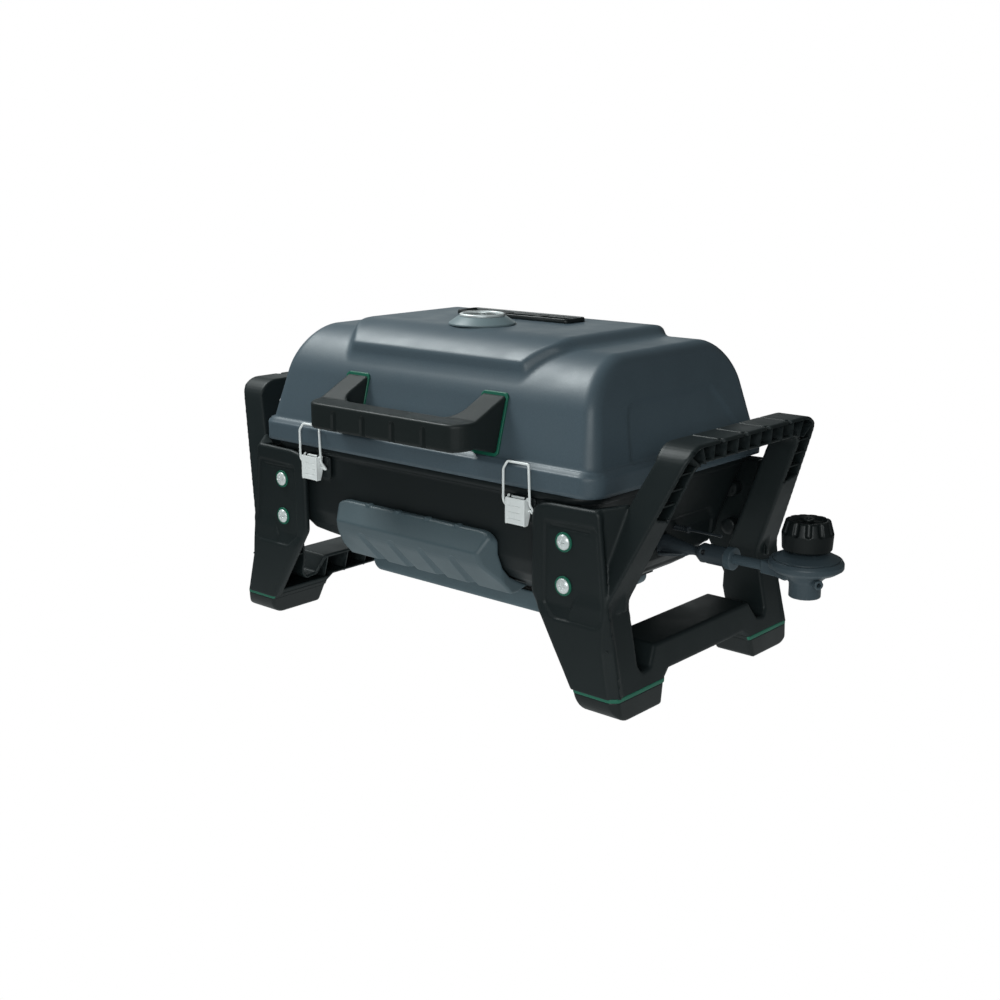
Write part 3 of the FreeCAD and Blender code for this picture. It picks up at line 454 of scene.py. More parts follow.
RIM_HALF, RIM_RADIUS = (242.0, 157.0), 21.0
LID_BOTTOM, BAND_TOP, ROOF, PLATEAU = 213.8, 235.0, 342.0, 353.2
WALL_X, WALL_Y, WALL_Z = 235.5, 150.5, 236.5  # half sizes where the walls meet the rim
LEAN_X, LEAN_Y = 0.2085, 0.2806  # how far the walls lean in per millimetre of height
RECESS, RECESS_EDGE = 1.6, 9.0  # depth of the end walls' recess, and the width of its soft edge
ROLL_Y, ROLL_Z, ROLL_RADIUS = 66.3, 276.4, 76.8  # the rolled front and back of the raised top
CREASE_Y, CREASE_Z, RISER_LEAN = 120.5, 330.8, 0.14  # where a roll ends in a steep riser
FLANK_X, FLANK_LEAN = 147.0, 1.3  # the raised top's sloping ends
CHAMFER, CHAMFER_LEAN = 236.0, 0.35  # the flats across its corners, as |x| + |y|
RAISED_FROM = 300.0  # the raised top is cut off inside the lid below this height


def lid_field(x, y, z):
    """The lid's outside: leaning walls, a rolled roof, the raised top, a step and the rim band."""
    up = z - WALL_Z
    panel = polygon(y, z, [(-94, 228), (-84, 298, 18), (70, 300, 16), (135, 228)])
    end = np.abs(x) - WALL_X + LEAN_X * up + RECESS * smooth(-panel / RECESS_EDGE)
    long_wall = (np.abs(y) - WALL_Y + LEAN_Y * up) / math.hypot(1, LEAN_Y)
    corner = np.interp(z, (238, 300), (16, 13))
    body = rmax(rmax(long_wall, z - ROOF, 50), end / math.hypot(1, LEAN_X), corner)
    drop = PLATEAU - z
    roll = np.hypot(np.maximum(np.abs(y) - ROLL_Y, 0), z - ROLL_Z) - ROLL_RADIUS
    riser = (np.abs(y) - CREASE_Y - RISER_LEAN * (CREASE_Z - z)) / math.hypot(1, RISER_LEAN)
    rise = np.maximum(rmax(roll, riser, 1.5), RAISED_FROM - z)
    flank = (np.abs(x) - FLANK_X - FLANK_LEAN * drop) / math.hypot(1, FLANK_LEAN)
    corner_cut = np.abs(x) + np.abs(y) - CHAMFER - CHAMFER_LEAN * drop
    corner_cut = corner_cut / math.hypot(math.sqrt(2), CHAMFER_LEAN)
    body = rmin(body, rmax(rise, rmax(flank, corner_cut, 10), 3.0), 4)
    step = rmax(rrect(x, y, 239, 154.1, 19), z - 237.8, 1.4)
    band = rmax(rrect(x, y, *RIM_HALF, RIM_RADIUS), z - BAND_TOP, 2.2)
    return rmin(rmin(body, step, 2.5), band, 0.6)


def build_lid():
    low = (-RIM_HALF[0] - 4, -RIM_HALF[1] - 4, LID_BOTTOM)
    vertices, faces = surface(lid_field, low, (246, 161, 358), 2.8)
    vertices[rim(faces), 2] = LID_BOTTOM
    lid = make_piece("lid", vertices, faces, "lid", ["lid_shell"], LID, "lid_enamel")
    thicken(lid, 3)


def lid_wall(z):
    """The y of the lid's front wall."""
    return -(WALL_Y - LEAN_Y * (z - WALL_Z))


def handle_field(x, y, z):
    plan = polygon(x, y, [(-116, -110), (-113, -205, 24), (113, -205, 24), (116, -110), (84, -110),
                          (82, -177, 17), (-82, -177, 17), (-84, -110)])
    side = polygon(y, z, [(-205, 247.5, 5), (-205, 276, 3), (-179, 277, 14), (-134, 298.5),
                          (-100, 298.5), (-100, 238), (-150, 241.5), (-178, 250, 10)])
    body = rmax(plan, side, 3.2)
    for at in (-65.1, -21.7, 21.7, 65.1):
        slot = np.hypot(x - at, np.maximum(z - 266.5, 0)) - 4.1
        body = cut(body, np.maximum(slot, y + 205 - 3.8), 0.4)
    return np.maximum(body, y - lid_wall(z) + 2.15)


def build_handle():
    vertices, faces = surface(handle_field, (-117, -207, 238), (117, -130, 306), 1.5)
    make_piece("handle", vertices, faces, "lid", ["lid_handle"], HANDLE, "frame_plastic")

    def gasket_field(x, y, z):
        wall = lid_wall(z)
        outline = rrect(x - 99.6, z - 269.7, 17.6, 31.0, 5)
        return rmax(outline, span(y, wall - 2.3, wall + 0.2), 0.3)

    gasket = surface(gasket_field, (80, -155, 237), (119, -126, 303), 1.0)
    for side, mesh in (("right", gasket), ("left", mirrored(*gasket, 0))):
        node = "handle_gasket_" + side
        make_piece("gasket_" + side, *mesh, "lid", [node], GREEN, "handle_gasket")


GAUGE = (2.0, -45.0)
MARKS, MARK_TURN, MARK_RADIUS = 21, 12.5, 19.5  # number, degrees apart, outer radius


def build_gauge():
    base = PLATEAU + 0.1
    centre = (*GAUGE, 0)
    bezel = [(3.2, base), (36.5, base, 0.4), (36.5, base + 1.8, 0.9), (26.5, base + 8.6, 2.2),
             (22.2, base + 9, 0.5), (22.2, base + 2.5), (3.2, base + 2.5)]
    # The bezel is drawn in the lighter copy of the lid enamel, a painted highlight.
    turned("gauge_base", bezel, centre, "lid", "gauge_bezel", LID_LIT, "lid_enamel")
    ring = [(20.7, base + 9.05, 0.3), (24.5, base + 9.05, 0.3), (24.5, base + 11, 1.0),
            (22.6, base + 12.2, 1.2), (20.7, base + 11, 0.6)]
    turned("gauge_rim", ring, centre, "lid", "gauge_ring", CHROME, "gauge_chrome")
    marks = []
    for k in range(MARKS):
        turn = math.radians(MARK_TURN * (k - MARKS // 2))
        long, wide = (4.5, 0.8) if k % 5 == 0 else (2.4, 0.45)
        out = np.array([math.sin(turn), math.cos(turn)])
        across = np.array([math.cos(turn), -math.sin(turn)]) * wide / 2
        far = np.array(GAUGE) + out * MARK_RADIUS
        near = far - out * long
        corners = (near - across, far - across, far + across, near + across)
        vertices = [(*corner, h) for h in (base + 4.42, base + 4.62) for corner in corners]
        marks.append((vertices, PRISM_FACES))
    make_piece("gauge_marks", *join_meshes(marks), "lid", [], RUBBER, "gauge_face", 30)


def trim_field(x, y, z):
    base = PLATEAU + 0.1
    outline = rrect(x + 10, y - 32, 82, 18, 6)
    plate = rmax(outline, span(z, base, base + 3.0), 0.8)
    plate = rmin(plate, rmax(np.abs(outline + 2.2) - 1.6, span(z, base, base + 4.6), 0.9), 0.5)
    for at in (-62, -10, 42):
        plate = cut(plate, np.maximum(rrect(x - at, y - 32, 21, 9.5, 4), base - 1 - z), 0.5)
    return plate


def build_trim():
    vertices, faces = surface(trim_field, (-95, 11, 351), (75, 53, 362), 0.9)
    make_piece("lid_slots", vertices, faces, "lid", ["lid_trim"], KNOB, "knob_plastic")


# ------ firebox, shield and tray

BOX_TOP, FLANGE_Z = 213.3, 205.0
BOLT_X, BOLT_ZS, LATCH_X = 207.5, (124.8, 168.9), 151.3  # where the leg bolts and latches sit
BOX_PROFILE = np.array([  # height, half width, half depth, plan radius
    (85.0, 160.0, 80.0, 15.0),
    (86.5, 168.0, 86.0, 18.0),
    (90.0, 176.0, 92.0, 20.0),
    (97.0, 187.0, 105.0, 25.0),
    (104.5, 194.0, 120.0, 28.0),
    (112.0, 199.0, 134.0, 30.0),
    (123.0, 202.0, 144.0, 31.0),
    (138.0, 203.5, 148.5, 32.0),
    (206.0, 231.0, 149.0, 32.0),
    (220.0, 236.7, 149.1, 32.0),
])


def box_field(x, y, z):
    """The firebox's outside: a tapered pan with its flange, lugs and pads."""
    heights = BOX_PROFILE[:, 0]
    half_x, half_y, radius = (np.interp(z, heights, BOX_PROFILE[:, i]) for i in (1, 2, 3))
    panel = polygon(y, z, [(-74, 100), (-74, 140, 10), (-52, 157, 8), (94, 157, 8), (114, 141, 10),
                           (114, 100)])
    recess = 2.2 * smooth((-panel + 1) / 3.5)
    shell = rrect(np.abs(x) + recess, y, half_x, half_y, radius)
    body = rmax(shell, heights[0] - z, 3)
    flange = rmax(rrect(x, y, 234, 153, 33), FLANGE_Z - z, 1.5)
    body = rmin(body, flange, 2.5)
    for at in BOLT_ZS:
        lug = np.maximum(np.hypot(np.abs(x) - BOLT_X, z - at) - 9, span(np.abs(y), 139, 150.4))
        body = rmin(body, lug, 3)
    pad = block(np.abs(x) - 120, y, z, (-20, 20), (140, 153.9), (180, 207), 1.5)
    mount = block(np.abs(x) - LATCH_X, y, z, (-16, 16), (-150.5, -140), (178, 207), 1.2)
    return rmin(rmin(body, pad, 2), mount, 1.5)


def build_firebox():
    vertices, faces = surface(box_field, (-239, -158, 83), (239, 158, BOX_TOP), 2.9)
    vertices[rim(faces), 2] = BOX_TOP
    body = make_piece("firebox_body", vertices, faces, "base", ["firebox"], BOX, "firebox_enamel")
    thicken(body, 3)


def shield_field(x, y, z):
    """The shield: a slope over a curved-under face, with bevelled ends and grooves."""
    wall, top = 2.5, 161

    def form(inset):
        section = [(-140, top - inset), (-155.5 + inset * 0.6, top - inset, 3),
                   (-169.8 + inset, 139.5, 4), (-165.5 + inset, 126, 26),
                   (-133 + inset * 0.3, 92 + inset, 5), (-124, 91.5 + inset)]
        if inset:
            section += [(-80, 101 + inset), (-80, top - inset)]
        else:
            section += [(-106, 96.2), (-121.3, 103.4), (-135, 111.2), (-145.0, 122.6),
                        (-149.1, 138), (-149.1, top)]
        wedge = polygon(y, z, section)
        plan = polygon(np.abs(x), y, [(-20, -70), (122 - inset, -70), (120 - inset, -146, 10),
                                      (101 - inset, -174 + inset), (-20, -174 + inset)])
        face = polygon(np.abs(x), z, [(-20, 80), (-20, top - inset), (121 - inset, top - inset, 24),
                                      (123 - inset, 80)])
        return rmax(rmax(wedge, plan, 3.0), face, 2.5)

    start, end = np.array([-168.2, 124.4]), np.array([-133.6, 89.0])
    way = end - start
    t = np.clip(((y - start[0]) * way[0] + (z - start[1]) * way[1]) / (way @ way), 0, 1.2)
    off = (y - start[0] - way[0] * t) ** 2 + (z - start[1] - way[1] * t) ** 2
    near = np.sqrt(np.minimum((np.abs(x) - 22.5) ** 2, (np.abs(x) - 67.5) ** 2) + off)
    groove = near - 6.3 - 2.0 * t
    sheet = cut(cut(form(0), groove, 0.8), cut(form(wall), groove - wall, 0.8), 0.4)
    for at in (22.4, 65.7):
        bump = tube(np.abs(x), y, z, (at, -153.5, 158), (at, -153.5, 161.4), 4.2, edge=1.0)
        sheet = rmin(sheet, bump, 1.0)
    return sheet


def build_shield():
    vertices, faces = surface(shield_field, (-125, -176, 88), (125, -88, 163), 1.25)
    make_piece("shield", vertices, faces, "base", ["front_shield"], SHIELD, "lid_enamel")


def build_tray():
    half_x, half_y, low, top = 141.0, 80.0, 57.0, 79.0

    def pan(x, y, z):
        return rmax(rmax(np.abs(x) - half_x, low - z, 12), np.abs(y) - half_y, 3.5)

    vertices, faces = surface(pan, (-145, -84, 54), (145, 84, top), 2.4)
    vertices[rim(faces), 2] = top
    thicken(make_piece("tray", vertices, faces, "tray", ["drip_tray"], TRAY, "tray_enamel"), 1.6)

    def lips(x, y, z):
        xs, ys = (half_x - 1, half_x + 7), (-half_y + 3, half_y - 3)
        return block(np.abs(x), y, z, xs, ys, (top - 1.6, top), 0.5)

    vertices, faces = surface(lips, (-150, -82, 76), (150, 82, 80.5), 0.9)
    make_piece("tray_lips", vertices, faces, "tray", [], TRAY, "tray_enamel")


# ------ leg frames

LEG_TOP, SEAM = 270.0, (21.8, 24.6)
PLATE_FACE = -157.5


def leg_outline(y, z):
    """The side view: the outer outline, the notch between the feet, and the opening."""
    across = np.abs(y)
    base = polygon(across, z, [(-20, 0), (163.5, 0, 21), (163.5, 24), (159.5, 110, 20),
                               (116.5, LEG_TOP, 26), (-20, LEG_TOP)])
    notch = polygon(across, z, [(-20, -40), (-20, 32), (70, 32, 4), (79, 25, 4), (87, -4),
                                (98, -40)])
    inner = [(-20, 60.5), (88, 60.5, 4), (101, 41, 4), (114, 39.5, 4), (119.5, 47, 4),
             (118.5, 112, 10), (94.5, 249.5, 13), (-20, 249.5)]
    return base, notch, polygon(across, z, inner)


def leg_band(x, z, inner, outer):
    """The front view of the right frame: foot, waist and the arm that leans out to the grip."""
    return polygon(x, z, [(236 + inner, -20), (280 - outer, -20), (276 - outer, 24),
                          (258 - outer, 110, 20), (322 - outer, 262, 8), (322 - outer, 290),
                          (285 + inner, 290), (285 + inner, 253, 10), (217 + inner, 103, 22),
                          (215 + inner, 61), (224 + inner, 24)])


def post_bevel(x, y, z):
    """The flat bevel up the outer corner of each post."""
    wide = np.interp(z, (70, 118), (6.5, -2))
    return (x - outer_x(z) + np.abs(y) - outer_y(z) + wide) / math.sqrt(2)


def leg_field(x, y, z):
    """The right frame: a hollowed loop with a bolt plate."""
    base, notch, opening = leg_outline(y, z)
    band = leg_band(x, z, 0, 0)
    solid = rmax(base, band, 2.5)
    solid = cut(cut(solid, opening, 3.0), notch, 3.0)
    front = -np.abs(y)
    outline = polygon(x, z, [(169, 112, 14), (169, 200, 14), (190, 203.5, 20), (248, 204.5, 5),
                             (258, 118), (276, 24), (224, 24), (183, 90, 14)])
    sweep = np.interp(z, (24.0, 92.0, 104.0), (5.8, 2.7, 0.0))
    plate = rmax(outline, span(front, PLATE_FACE - sweep, PLATE_FACE + 7), 2.2)
    panel = polygon(x, z, [(184.5, 104, 8), (184.5, 187, 4), (246, 188.5, 4), (256, 92, 8),
                           (198, 92, 8)])
    front_only = front < PLATE_FACE + 3
    plate = plate - 1.9 * smooth((panel + 0.6) / 2.4) * front_only
    slot = rrect(x - 214, z - 182.5, 25, 1.2, 1.2)
    plate = plate + 0.9 * smooth((1.0 - slot) / 2.0) * front_only
    web = polygon(x, front, [(240, -153), (247.5, -155.5), (264, -135), (264, -130), (240, -143)])
    web = rmax(web, span(z, 104, 207 + (x - 247) * 0.2), 1.5)
    solid = rmax(rmin(rmin(solid, plate, 2.0), web, 1.5), post_bevel(x, y, z), 1.2)

    wall = 3.2
    across = np.abs(y)
    low = np.maximum(np.maximum(base + wall, wall - opening), leg_band(x, z, -30, wall + 1))
    low = np.maximum(np.maximum(low, wall - notch), span(z, 31, 196))
    low = np.maximum(low, across - 150)
    high = np.maximum(np.maximum(base + wall, wall - opening), leg_band(x, z, wall, -30))
    high = np.maximum(high, 197 + (across - 118) * 0.25 - z)
    solid = cut(cut(solid, low, 0.5), high, 0.5)
    for at in (21, 63):
        groove = np.maximum(np.abs(across - at) - 1.6, LEG_TOP - 2.4 - z)
        notch_cut = np.maximum(np.hypot(across - at, z - LEG_TOP) - 4.2, 316 - x)
        solid = cut(cut(solid, groove, 0.5), notch_cut, 0.5)
    for at in BOLT_ZS:
        bore = np.maximum(np.hypot(x - BOLT_X, z - at) - 3.3, span(front, -170, -140))
        solid = np.maximum(solid, -bore)
    return solid


def outer_x(z):
    return np.interp(z, (24, 110, 262, 270), (276, 258, 322, 322))


def inner_x(z):
    return np.interp(z, (24, 61, 103, 253, 270), (224, 215, 217, 285, 285))


def outer_y(z):
    return np.interp(z, (24, 110, 270), (163.5, 159.5, 116.5))


def inner_y(z):
    return np.interp(z, (47, 112, 249.5), (119.5, 118.5, 94.5))


def leg_ribs():
    """The thin plates across the hollows of the right frame."""
    plates = []
    for side in (-1, 1):
        def level(z, x0, x1):
            y0, y1 = side * (inner_y(z) + 1.5), side * (outer_y(z) - 1.5)
            plates.append([(x0, y0, z), (x1, y0, z), (x1, y1, z), (x0, y1, z)])

        def upright(y, corners):
            plates.append([(x, side * y, z) for x, z in corners])

        for z in (212, 227.5, 243):
            level(z, inner_x(z) + 2, outer_x(z) - 1.6)
        for y0, z0, y1, z1 in ((96, 249, 114.5, 261), (87, 250, 95, 269)):
            plates.append([(286, side * y0, z0), (319.5, side * y0, z0),
                           (320, side * y1, z1), (286, side * y1, z1)])
        for y in (10.5, 31.5, 52.5, 73.5):
            upright(y, ((286, 251), (319, 251), (320.2, 268), (286, 268)))
        for z in (70, 105, 140, 175):
            level(z, inner_x(z) + 1.2, outer_x(z) - 3)
        for y in (16.5, 49.5, 82.5):
            upright(y, ((225, 31), (271, 31), (266, 59), (217, 59)))
    return join_meshes([slab(p, 1.5) for p in plates])


def blacken_inner(seam):
    """Make a seam black where it faces the grill: it is green on the frame's outer sides only."""
    mesh = seam.data
    mesh.materials.append(FOOT)
    centres = np.empty(3 * len(mesh.polygons))
    mesh.polygons.foreach_get("center", centres)
    x, y, z = np.abs((centres.reshape(-1, 3) - ORIGIN) / MM).T
    x_gap, y_gap = outer_x(z) - x, outer_y(z) - y
    inner = (np.minimum(x_gap, y_gap) > 2) & (x_gap + y_gap > 9)
    mesh.polygons.foreach_set("material_index", inner.astype(np.int32))


def build_legs():
    def frame_only(x, y, z):
        return np.maximum(leg_field(x, y, z), SEAM[1] + 0.05 - z)

    def shoe(x, y, z, notch_edge):
        base, notch, _ = leg_outline(y, z)
        solid = rmax(rmax(base, leg_band(x, z, 0, 0), 3.0), post_bevel(x, y, z), 1.2)
        return cut(solid, notch, notch_edge)

    def foot_only(x, y, z):
        return rmax(shoe(x, y, z, 5), z - SEAM[0] + 0.1, 0.5)

    def seam_only(x, y, z):
        return rmax(shoe(x, y, z, 3) - 0.25, span(z, SEAM[0] - 0.5, SEAM[1] + 0.6), 0.3)

    vertices, faces = surface(frame_only, (165, -167, 23), (325, 167, 273), 2.0)
    for side, mesh in (("right", (vertices, faces)), ("left", mirrored(vertices, faces, 0))):
        make_piece("leg_" + side, *mesh, "base", ["leg_frame_" + side], PLASTIC, "frame_plastic")
    vertices, faces = surface(foot_only, (214, -167, -2), (282, -60, 25), 1.5)
    for depth, foot in (("front", (vertices, faces)), ("back", mirrored(vertices, faces, 1))):
        for side, mesh in (("right", foot), ("left", mirrored(*foot, 0))):
            node = "foot_%s_%s" % (depth, side)
            make_piece("shoe_%s_%s" % (depth, side), *mesh, "base", [node], FOOT, "foot_plastic")
    ribs = leg_ribs()
    make_piece("leg_ribs_right", *ribs, "base", [], PLASTIC, "frame_plastic", 30)
    make_piece("leg_ribs_left", *mirrored(*ribs, 0), "base", [], PLASTIC, "frame_plastic", 30)
    vertices, faces = surface(seam_only, (214, -168, 21), (282, -60, 27), 0.8)
    for depth, strip in (("front", (vertices, faces)), ("back", mirrored(vertices, faces, 1))):
        for side, mesh in (("right", strip), ("left", mirrored(*strip, 0))):
            node = "foot_seam_%s_%s" % (depth, side)
            name = "seam_%s_%s" % (depth, side)
            blacken_inner(make_piece(name, *mesh, "base", [node], GREEN, "seam_plastic"))


def build_bolts():
    """The bolts through the plates: shallow domes with a cross recess, each on a green washer."""
    def head(u, v, out):
        dome = rmax(np.sqrt(u * u + v * v + (out + 8.2) ** 2) - 11.7, np.hypot(u, v) - 8.0, 0.8)
        u, v = np.abs(u), np.abs(v)
        bars = np.minimum(np.maximum(u - 0.5, v - 4.2), np.maximum(v - 0.5, u - 4.2))
        return cut(np.maximum(dome, -out), np.maximum(bars, 2.3 - out), 0.3)

    vertices, faces = surface(head, (-9, -9, -0.6), (9, 9, 4.4), 0.6)
    washer = lathe([(3.3, -1.4), (9.9, -1.4), (9.9, 0.1, 0.5), (3.3, 0.1)], (0, 0, 0), "z", 48)
    heads, washers = [], []
    for side, depth, at in ((s, d, z) for s in (-1, 1) for d in (-1, 1) for z in BOLT_ZS):
        for (points, quads), group in (((vertices, faces), heads), (washer, washers)):
            u, v, out = points.T
            placed = np.stack([side * BOLT_X + u, depth * (1.3 - PLATE_FACE + out), at + v], 1)
            group.append((placed, quads if depth < 0 else quads[:, ::-1]))
    make_piece("bolt_heads", *join_meshes(heads), "base", ["leg_bolts"], PLATED, "plated_steel")
    make_piece("washers", *join_meshes(washers), "base", ["leg_bolt_washers"], GREEN,
               "seam_plastic", TURNED_EDGE)


# ------ latches

PIN, BAIL = (-158.4, 204.0), (-157.4, 192.5)  # (y, z) of a lever's pivot and of its bail's


def lever_field(x, y, z):
    """The lever: a plate with three pressed lines and a flange down each side."""
    py = PIN[0]
    u = x - LATCH_X
    front = py - 6.6
    plate = rmax(rrect(u, z - 191.1, 12.3, 13.2, 2), span(y, front, front + 1.2), 0.35)
    side = polygon(y, z, [(front, 177.4, 0.6), (front, 204.3, 0.6), (py + 2.6, 204.3, 2),
                          (py + 2.6, 187, 2), (py - 0.6, 177.4, 1)])
    flanges = rmax(side, span(np.abs(u), 11.1, 12.3), 0.3)
    lever = rmin(plate, flanges, 0.6)
    for at in (183.6, 190.2, 196.8):
        line = np.sqrt(np.maximum(np.abs(u + 1) - 7.5, 0) ** 2 + (z - at) ** 2) - 0.42
        hook = np.hypot(u + 8.5, np.maximum(np.abs(z - at - 1.1) - 1.1, 0)) - 0.42
        lever = cut(lever, np.maximum(np.minimum(line, hook), y - front - 0.55), 0.15)
    return lever


def bracket_field(x, y, z):
    py, pz = PIN
    u = x - LATCH_X
    outline = rrect(u + 2.5, z - 191.7, 19.5, 12.7, 4)
    plate = rmax(outline, span(y, -153.4, -150.6), 0.9)
    ear = polygon(y, z, [(-152, pz - 11), (-152, 204.4), (-153.6, 204.4), (py + 1, pz + 2.8, 1),
                         (py - 1.5, pz + 2.2, 1), (py - 2.8, pz, 1), (py - 1.5, pz - 2.2, 1)])
    ears = rmax(ear, span(np.abs(u), 8.7, 10.1), 0.3)
    return rmin(plate, ears, 0.6)


def build_latches():
    lever = surface(lever_field, (137.5, -167, 176), (165.5, -153, 206), 0.42)
    bracket = surface(bracket_field, (128, -163, 176), (170, -149, 209), 0.8)
    for side, sign in (("right", 1), ("left", -1)):
        if sign < 0:
            lever, bracket = mirrored(*lever, 0), mirrored(*bracket, 0)
        make_piece("lever_plate_" + side, *lever, "lever_" + side, ["latch_lever_" + side],
                   BRIGHT, "latch_steel")
        make_piece("bracket_plate_" + side, *bracket, "base", ["latch_bracket_" + side],
                   BOX, "hinge_steel")
        build_bail(side, sign)


def build_bail(side, sign):
    """The wire loop: hooked ends through the lever, a kink, two uprights and a top bar."""
    y, z = BAIL
    half = [(11.5, y, z), (14.2, y, z), (14.6, y + 1.9, z - 2.6), (17.2, y + 2.4, z - 2.2),
            (17.0, -162.3, z + 7.2), (16.4, -163.0, 232), (13.6, -160.0, 239.3)]
    points = [(-a, b, c) for a, b, c in half] + half[::-1]
    curve = bpy.data.curves.new("bail_" + side, "CURVE")
    curve.dimensions = "3D"
    curve.bevel_depth = 1.25 * MM
    curve.bevel_resolution = 5
    curve.use_fill_caps = True
    spline = curve.splines.new("BEZIER")
    middle = Vector((sign * LATCH_X * MM + ORIGIN[0], ORIGIN[1], 0))
    placed = [middle + Vector(point) * MM for point in points]
    bent = []
    for i, p in enumerate(placed):
        if i in (0, len(placed) - 1):
            bent.append((p, None))
            continue
        back, ahead = placed[i - 1] - p, placed[i + 1] - p
        reach = min(2.1 * MM, back.length * 0.45, ahead.length * 0.45)
        bent.append((p + back.normalized() * reach, p))
        bent.append((p + ahead.normalized() * reach, p))
    spline.bezier_points.add(len(bent) - 1)
    for i, (p, knee) in enumerate(bent):
        point = spline.bezier_points[i]
        point.co = p
        point.handle_left_type = point.handle_right_type = "FREE"
        point.handle_left = point.handle_right = p
        if knee is not None:
            toward = p + (knee - p) * 0.56
            if i % 2:
                point.handle_right = toward
            else:
                point.handle_left = toward
    curve.materials.append(BRIGHT)
    obj = bpy.data.objects.new("bail_wire_" + side, curve)
    bpy.context.scene.collection.objects.link(obj)
    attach(obj, "bail_" + side)
    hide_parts("latch_bail_" + side)


# ------ gas fittings

GAS_Y, GAS_Z, REG_X = 22.0, 128.0, 370.0


def venturi_field(x, y, z):
    r = np.hypot(y - GAS_Y, z - GAS_Z)
    outer = np.interp(x, (190, 205, 239, 243, 251, 281), (11.5, 11.5, 4.8, 4.8, 10.4, 10.4))
    inner = np.interp(x, (190, 204, 238.5, 243.5, 251.5, 281), (9.9, 9.9, 3.4, 3.4, 9.0, 9.0))
    body = rmax(r - outer, span(x, 190, 280.4), 0.5)
    tab = polygon(x, np.abs(y - GAS_Y), [(205, -5), (205, 22, 4), (214, 18, 6), (232, 5),
                                         (232, -5)])
    body = rmin(body, rmax(tab, span(z, GAS_Z - 7, GAS_Z - 4), 0.8), 1.5)
    body = np.maximum(body, inner - r)
    for k in range(4):
        turn = math.radians(20 + 90 * k)
        way = np.array([0, -math.cos(turn), math.sin(turn)])
        start = np.array([256, GAS_Y, GAS_Z]) + way * 5
        body = cut(body, tube(x, y, z, start, start + way * 9, 2.8), 0.5)
    return body


def electrode_field(x, y, z):
    r = np.hypot(y - 38.0, z - 144.0)
    ribs = 0.22 * np.cos((x - 205) * 2 * math.pi / 2.8) * (x < 219)
    sleeve = rmax(r - 3.0 - ribs, span(x, 180, 219.5), 0.4)
    collar = rmax(r - 3.6, span(x, 219, 222.5), 0.5)
    rod = rmax(r - 1.25, span(x, 180, 262.6), 0.4)
    tip = rmax(r - 1.65, span(x, 258.5, 262.6), 0.4)
    return np.minimum(np.minimum(sleeve, collar), np.minimum(rod, tip))


def regulator_field(x, y, z):
    """The regulator's casting: a dish on the socket, an arm and a vent."""
    u, v = x - REG_X, y - GAS_Y
    r = np.hypot(u, v)
    body = polygon(r, z, [(-10, 115), (15.8, 115), (16.2, 123, 5), (24, 130, 5), (31, 132, 4),
                          (37, 136, 2), (37, 141, 2), (34.8, 144.5, 1.5), (33.1, 144.5),
                          (33.1, 140), (-10, 140)])
    socket = rmax(r - 15.8, span(z, 105.5, 118), 0.8)
    body = np.minimum(body, socket)
    arm = polygon(x, np.abs(v), [(322, -5), (322, 6.5, 2), (340, 8.0), (352, 14), (356, 14),
                                 (356, -5)])
    body = rmin(body, rmax(arm, span(z, 121, 135), 2.0), 3.0)
    vent = tube(x, y, z, (REG_X + 13, GAS_Y - 9, 125), (REG_X + 24, GAS_Y - 16.7, 125), 4.6,
                edge=0.8)
    body = rmin(body, vent, 1.2)
    hole = tube(x, y, z, (REG_X + 18, GAS_Y - 12.5, 125), (REG_X + 30, GAS_Y - 21, 125), 2.2)
    body = cut(body, hole, 0.4)
    bore = np.maximum(r - 12.7, z - 114)
    thread = 0.35 * np.sin(z * 2 * math.pi / 1.27 + np.arctan2(v, u))
    body = cut(body, bore - thread * (z > 106.5), 0.0)
    body = np.maximum(body, -np.maximum(r - 4.0, span(z, 110, 145)))
    gas = np.maximum(np.hypot(v, z - GAS_Z) - 5.3, span(x, 315, 334))
    return np.maximum(body, -gas)


def build_regulator():
    vertices, faces = surface(regulator_field, (320, -17, 104), (409, 61, 147), 0.95)
    make_piece("regulator_casting", vertices, faces, "regulator", ["regulator_body"], SLATE,
               "regulator_cast")
    dome = [(4.6, 140.9), (32.8, 140.9, 0.3), (32.8, 145.2, 1.2), (24, 149.6, 14), (13, 152, 4),
            (4.6, 152.2)]
    pipe = [(3.6, 283.5), (5.25, 283.5, 0.3), (5.25, 334, 0.3), (3.6, 334)]
    collar = [(3.0, 272), (8.7, 272, 0.5), (8.7, 281), (12, 281, 0.6), (12, 289, 1.2),
              (5.3, 289, 0.4), (5.3, 283.4), (3.0, 283.4)]
    gas_line = (0, GAS_Y, GAS_Z)
    for name, profile, centre, node, axis, steps in (
            ("regulator_dome", dome, (REG_X, GAS_Y, 0), "regulator_cover", "z", 96),
            ("gas_pipe", pipe, gas_line, "regulator_tube", "x", 48),
            ("pipe_collar", collar, gas_line, "tube_collar", "x", 64)):
        turned(name, profile, centre, "regulator", node, SLATE, "regulator_cast", axis, steps)
    vertices, faces = surface(venturi_field, (189, -2, 114), (283, 46, 142), 0.9)
    make_piece("venturi_casting", vertices, faces, "base", ["venturi"], DARK_METAL, "venturi_cast")
    vertices, faces = surface(electrode_field, (180, 33, 139), (264, 43, 149), 0.5)
    make_piece("spark_electrode", vertices, faces, "base", ["electrode"], CERAMIC, "insulator")


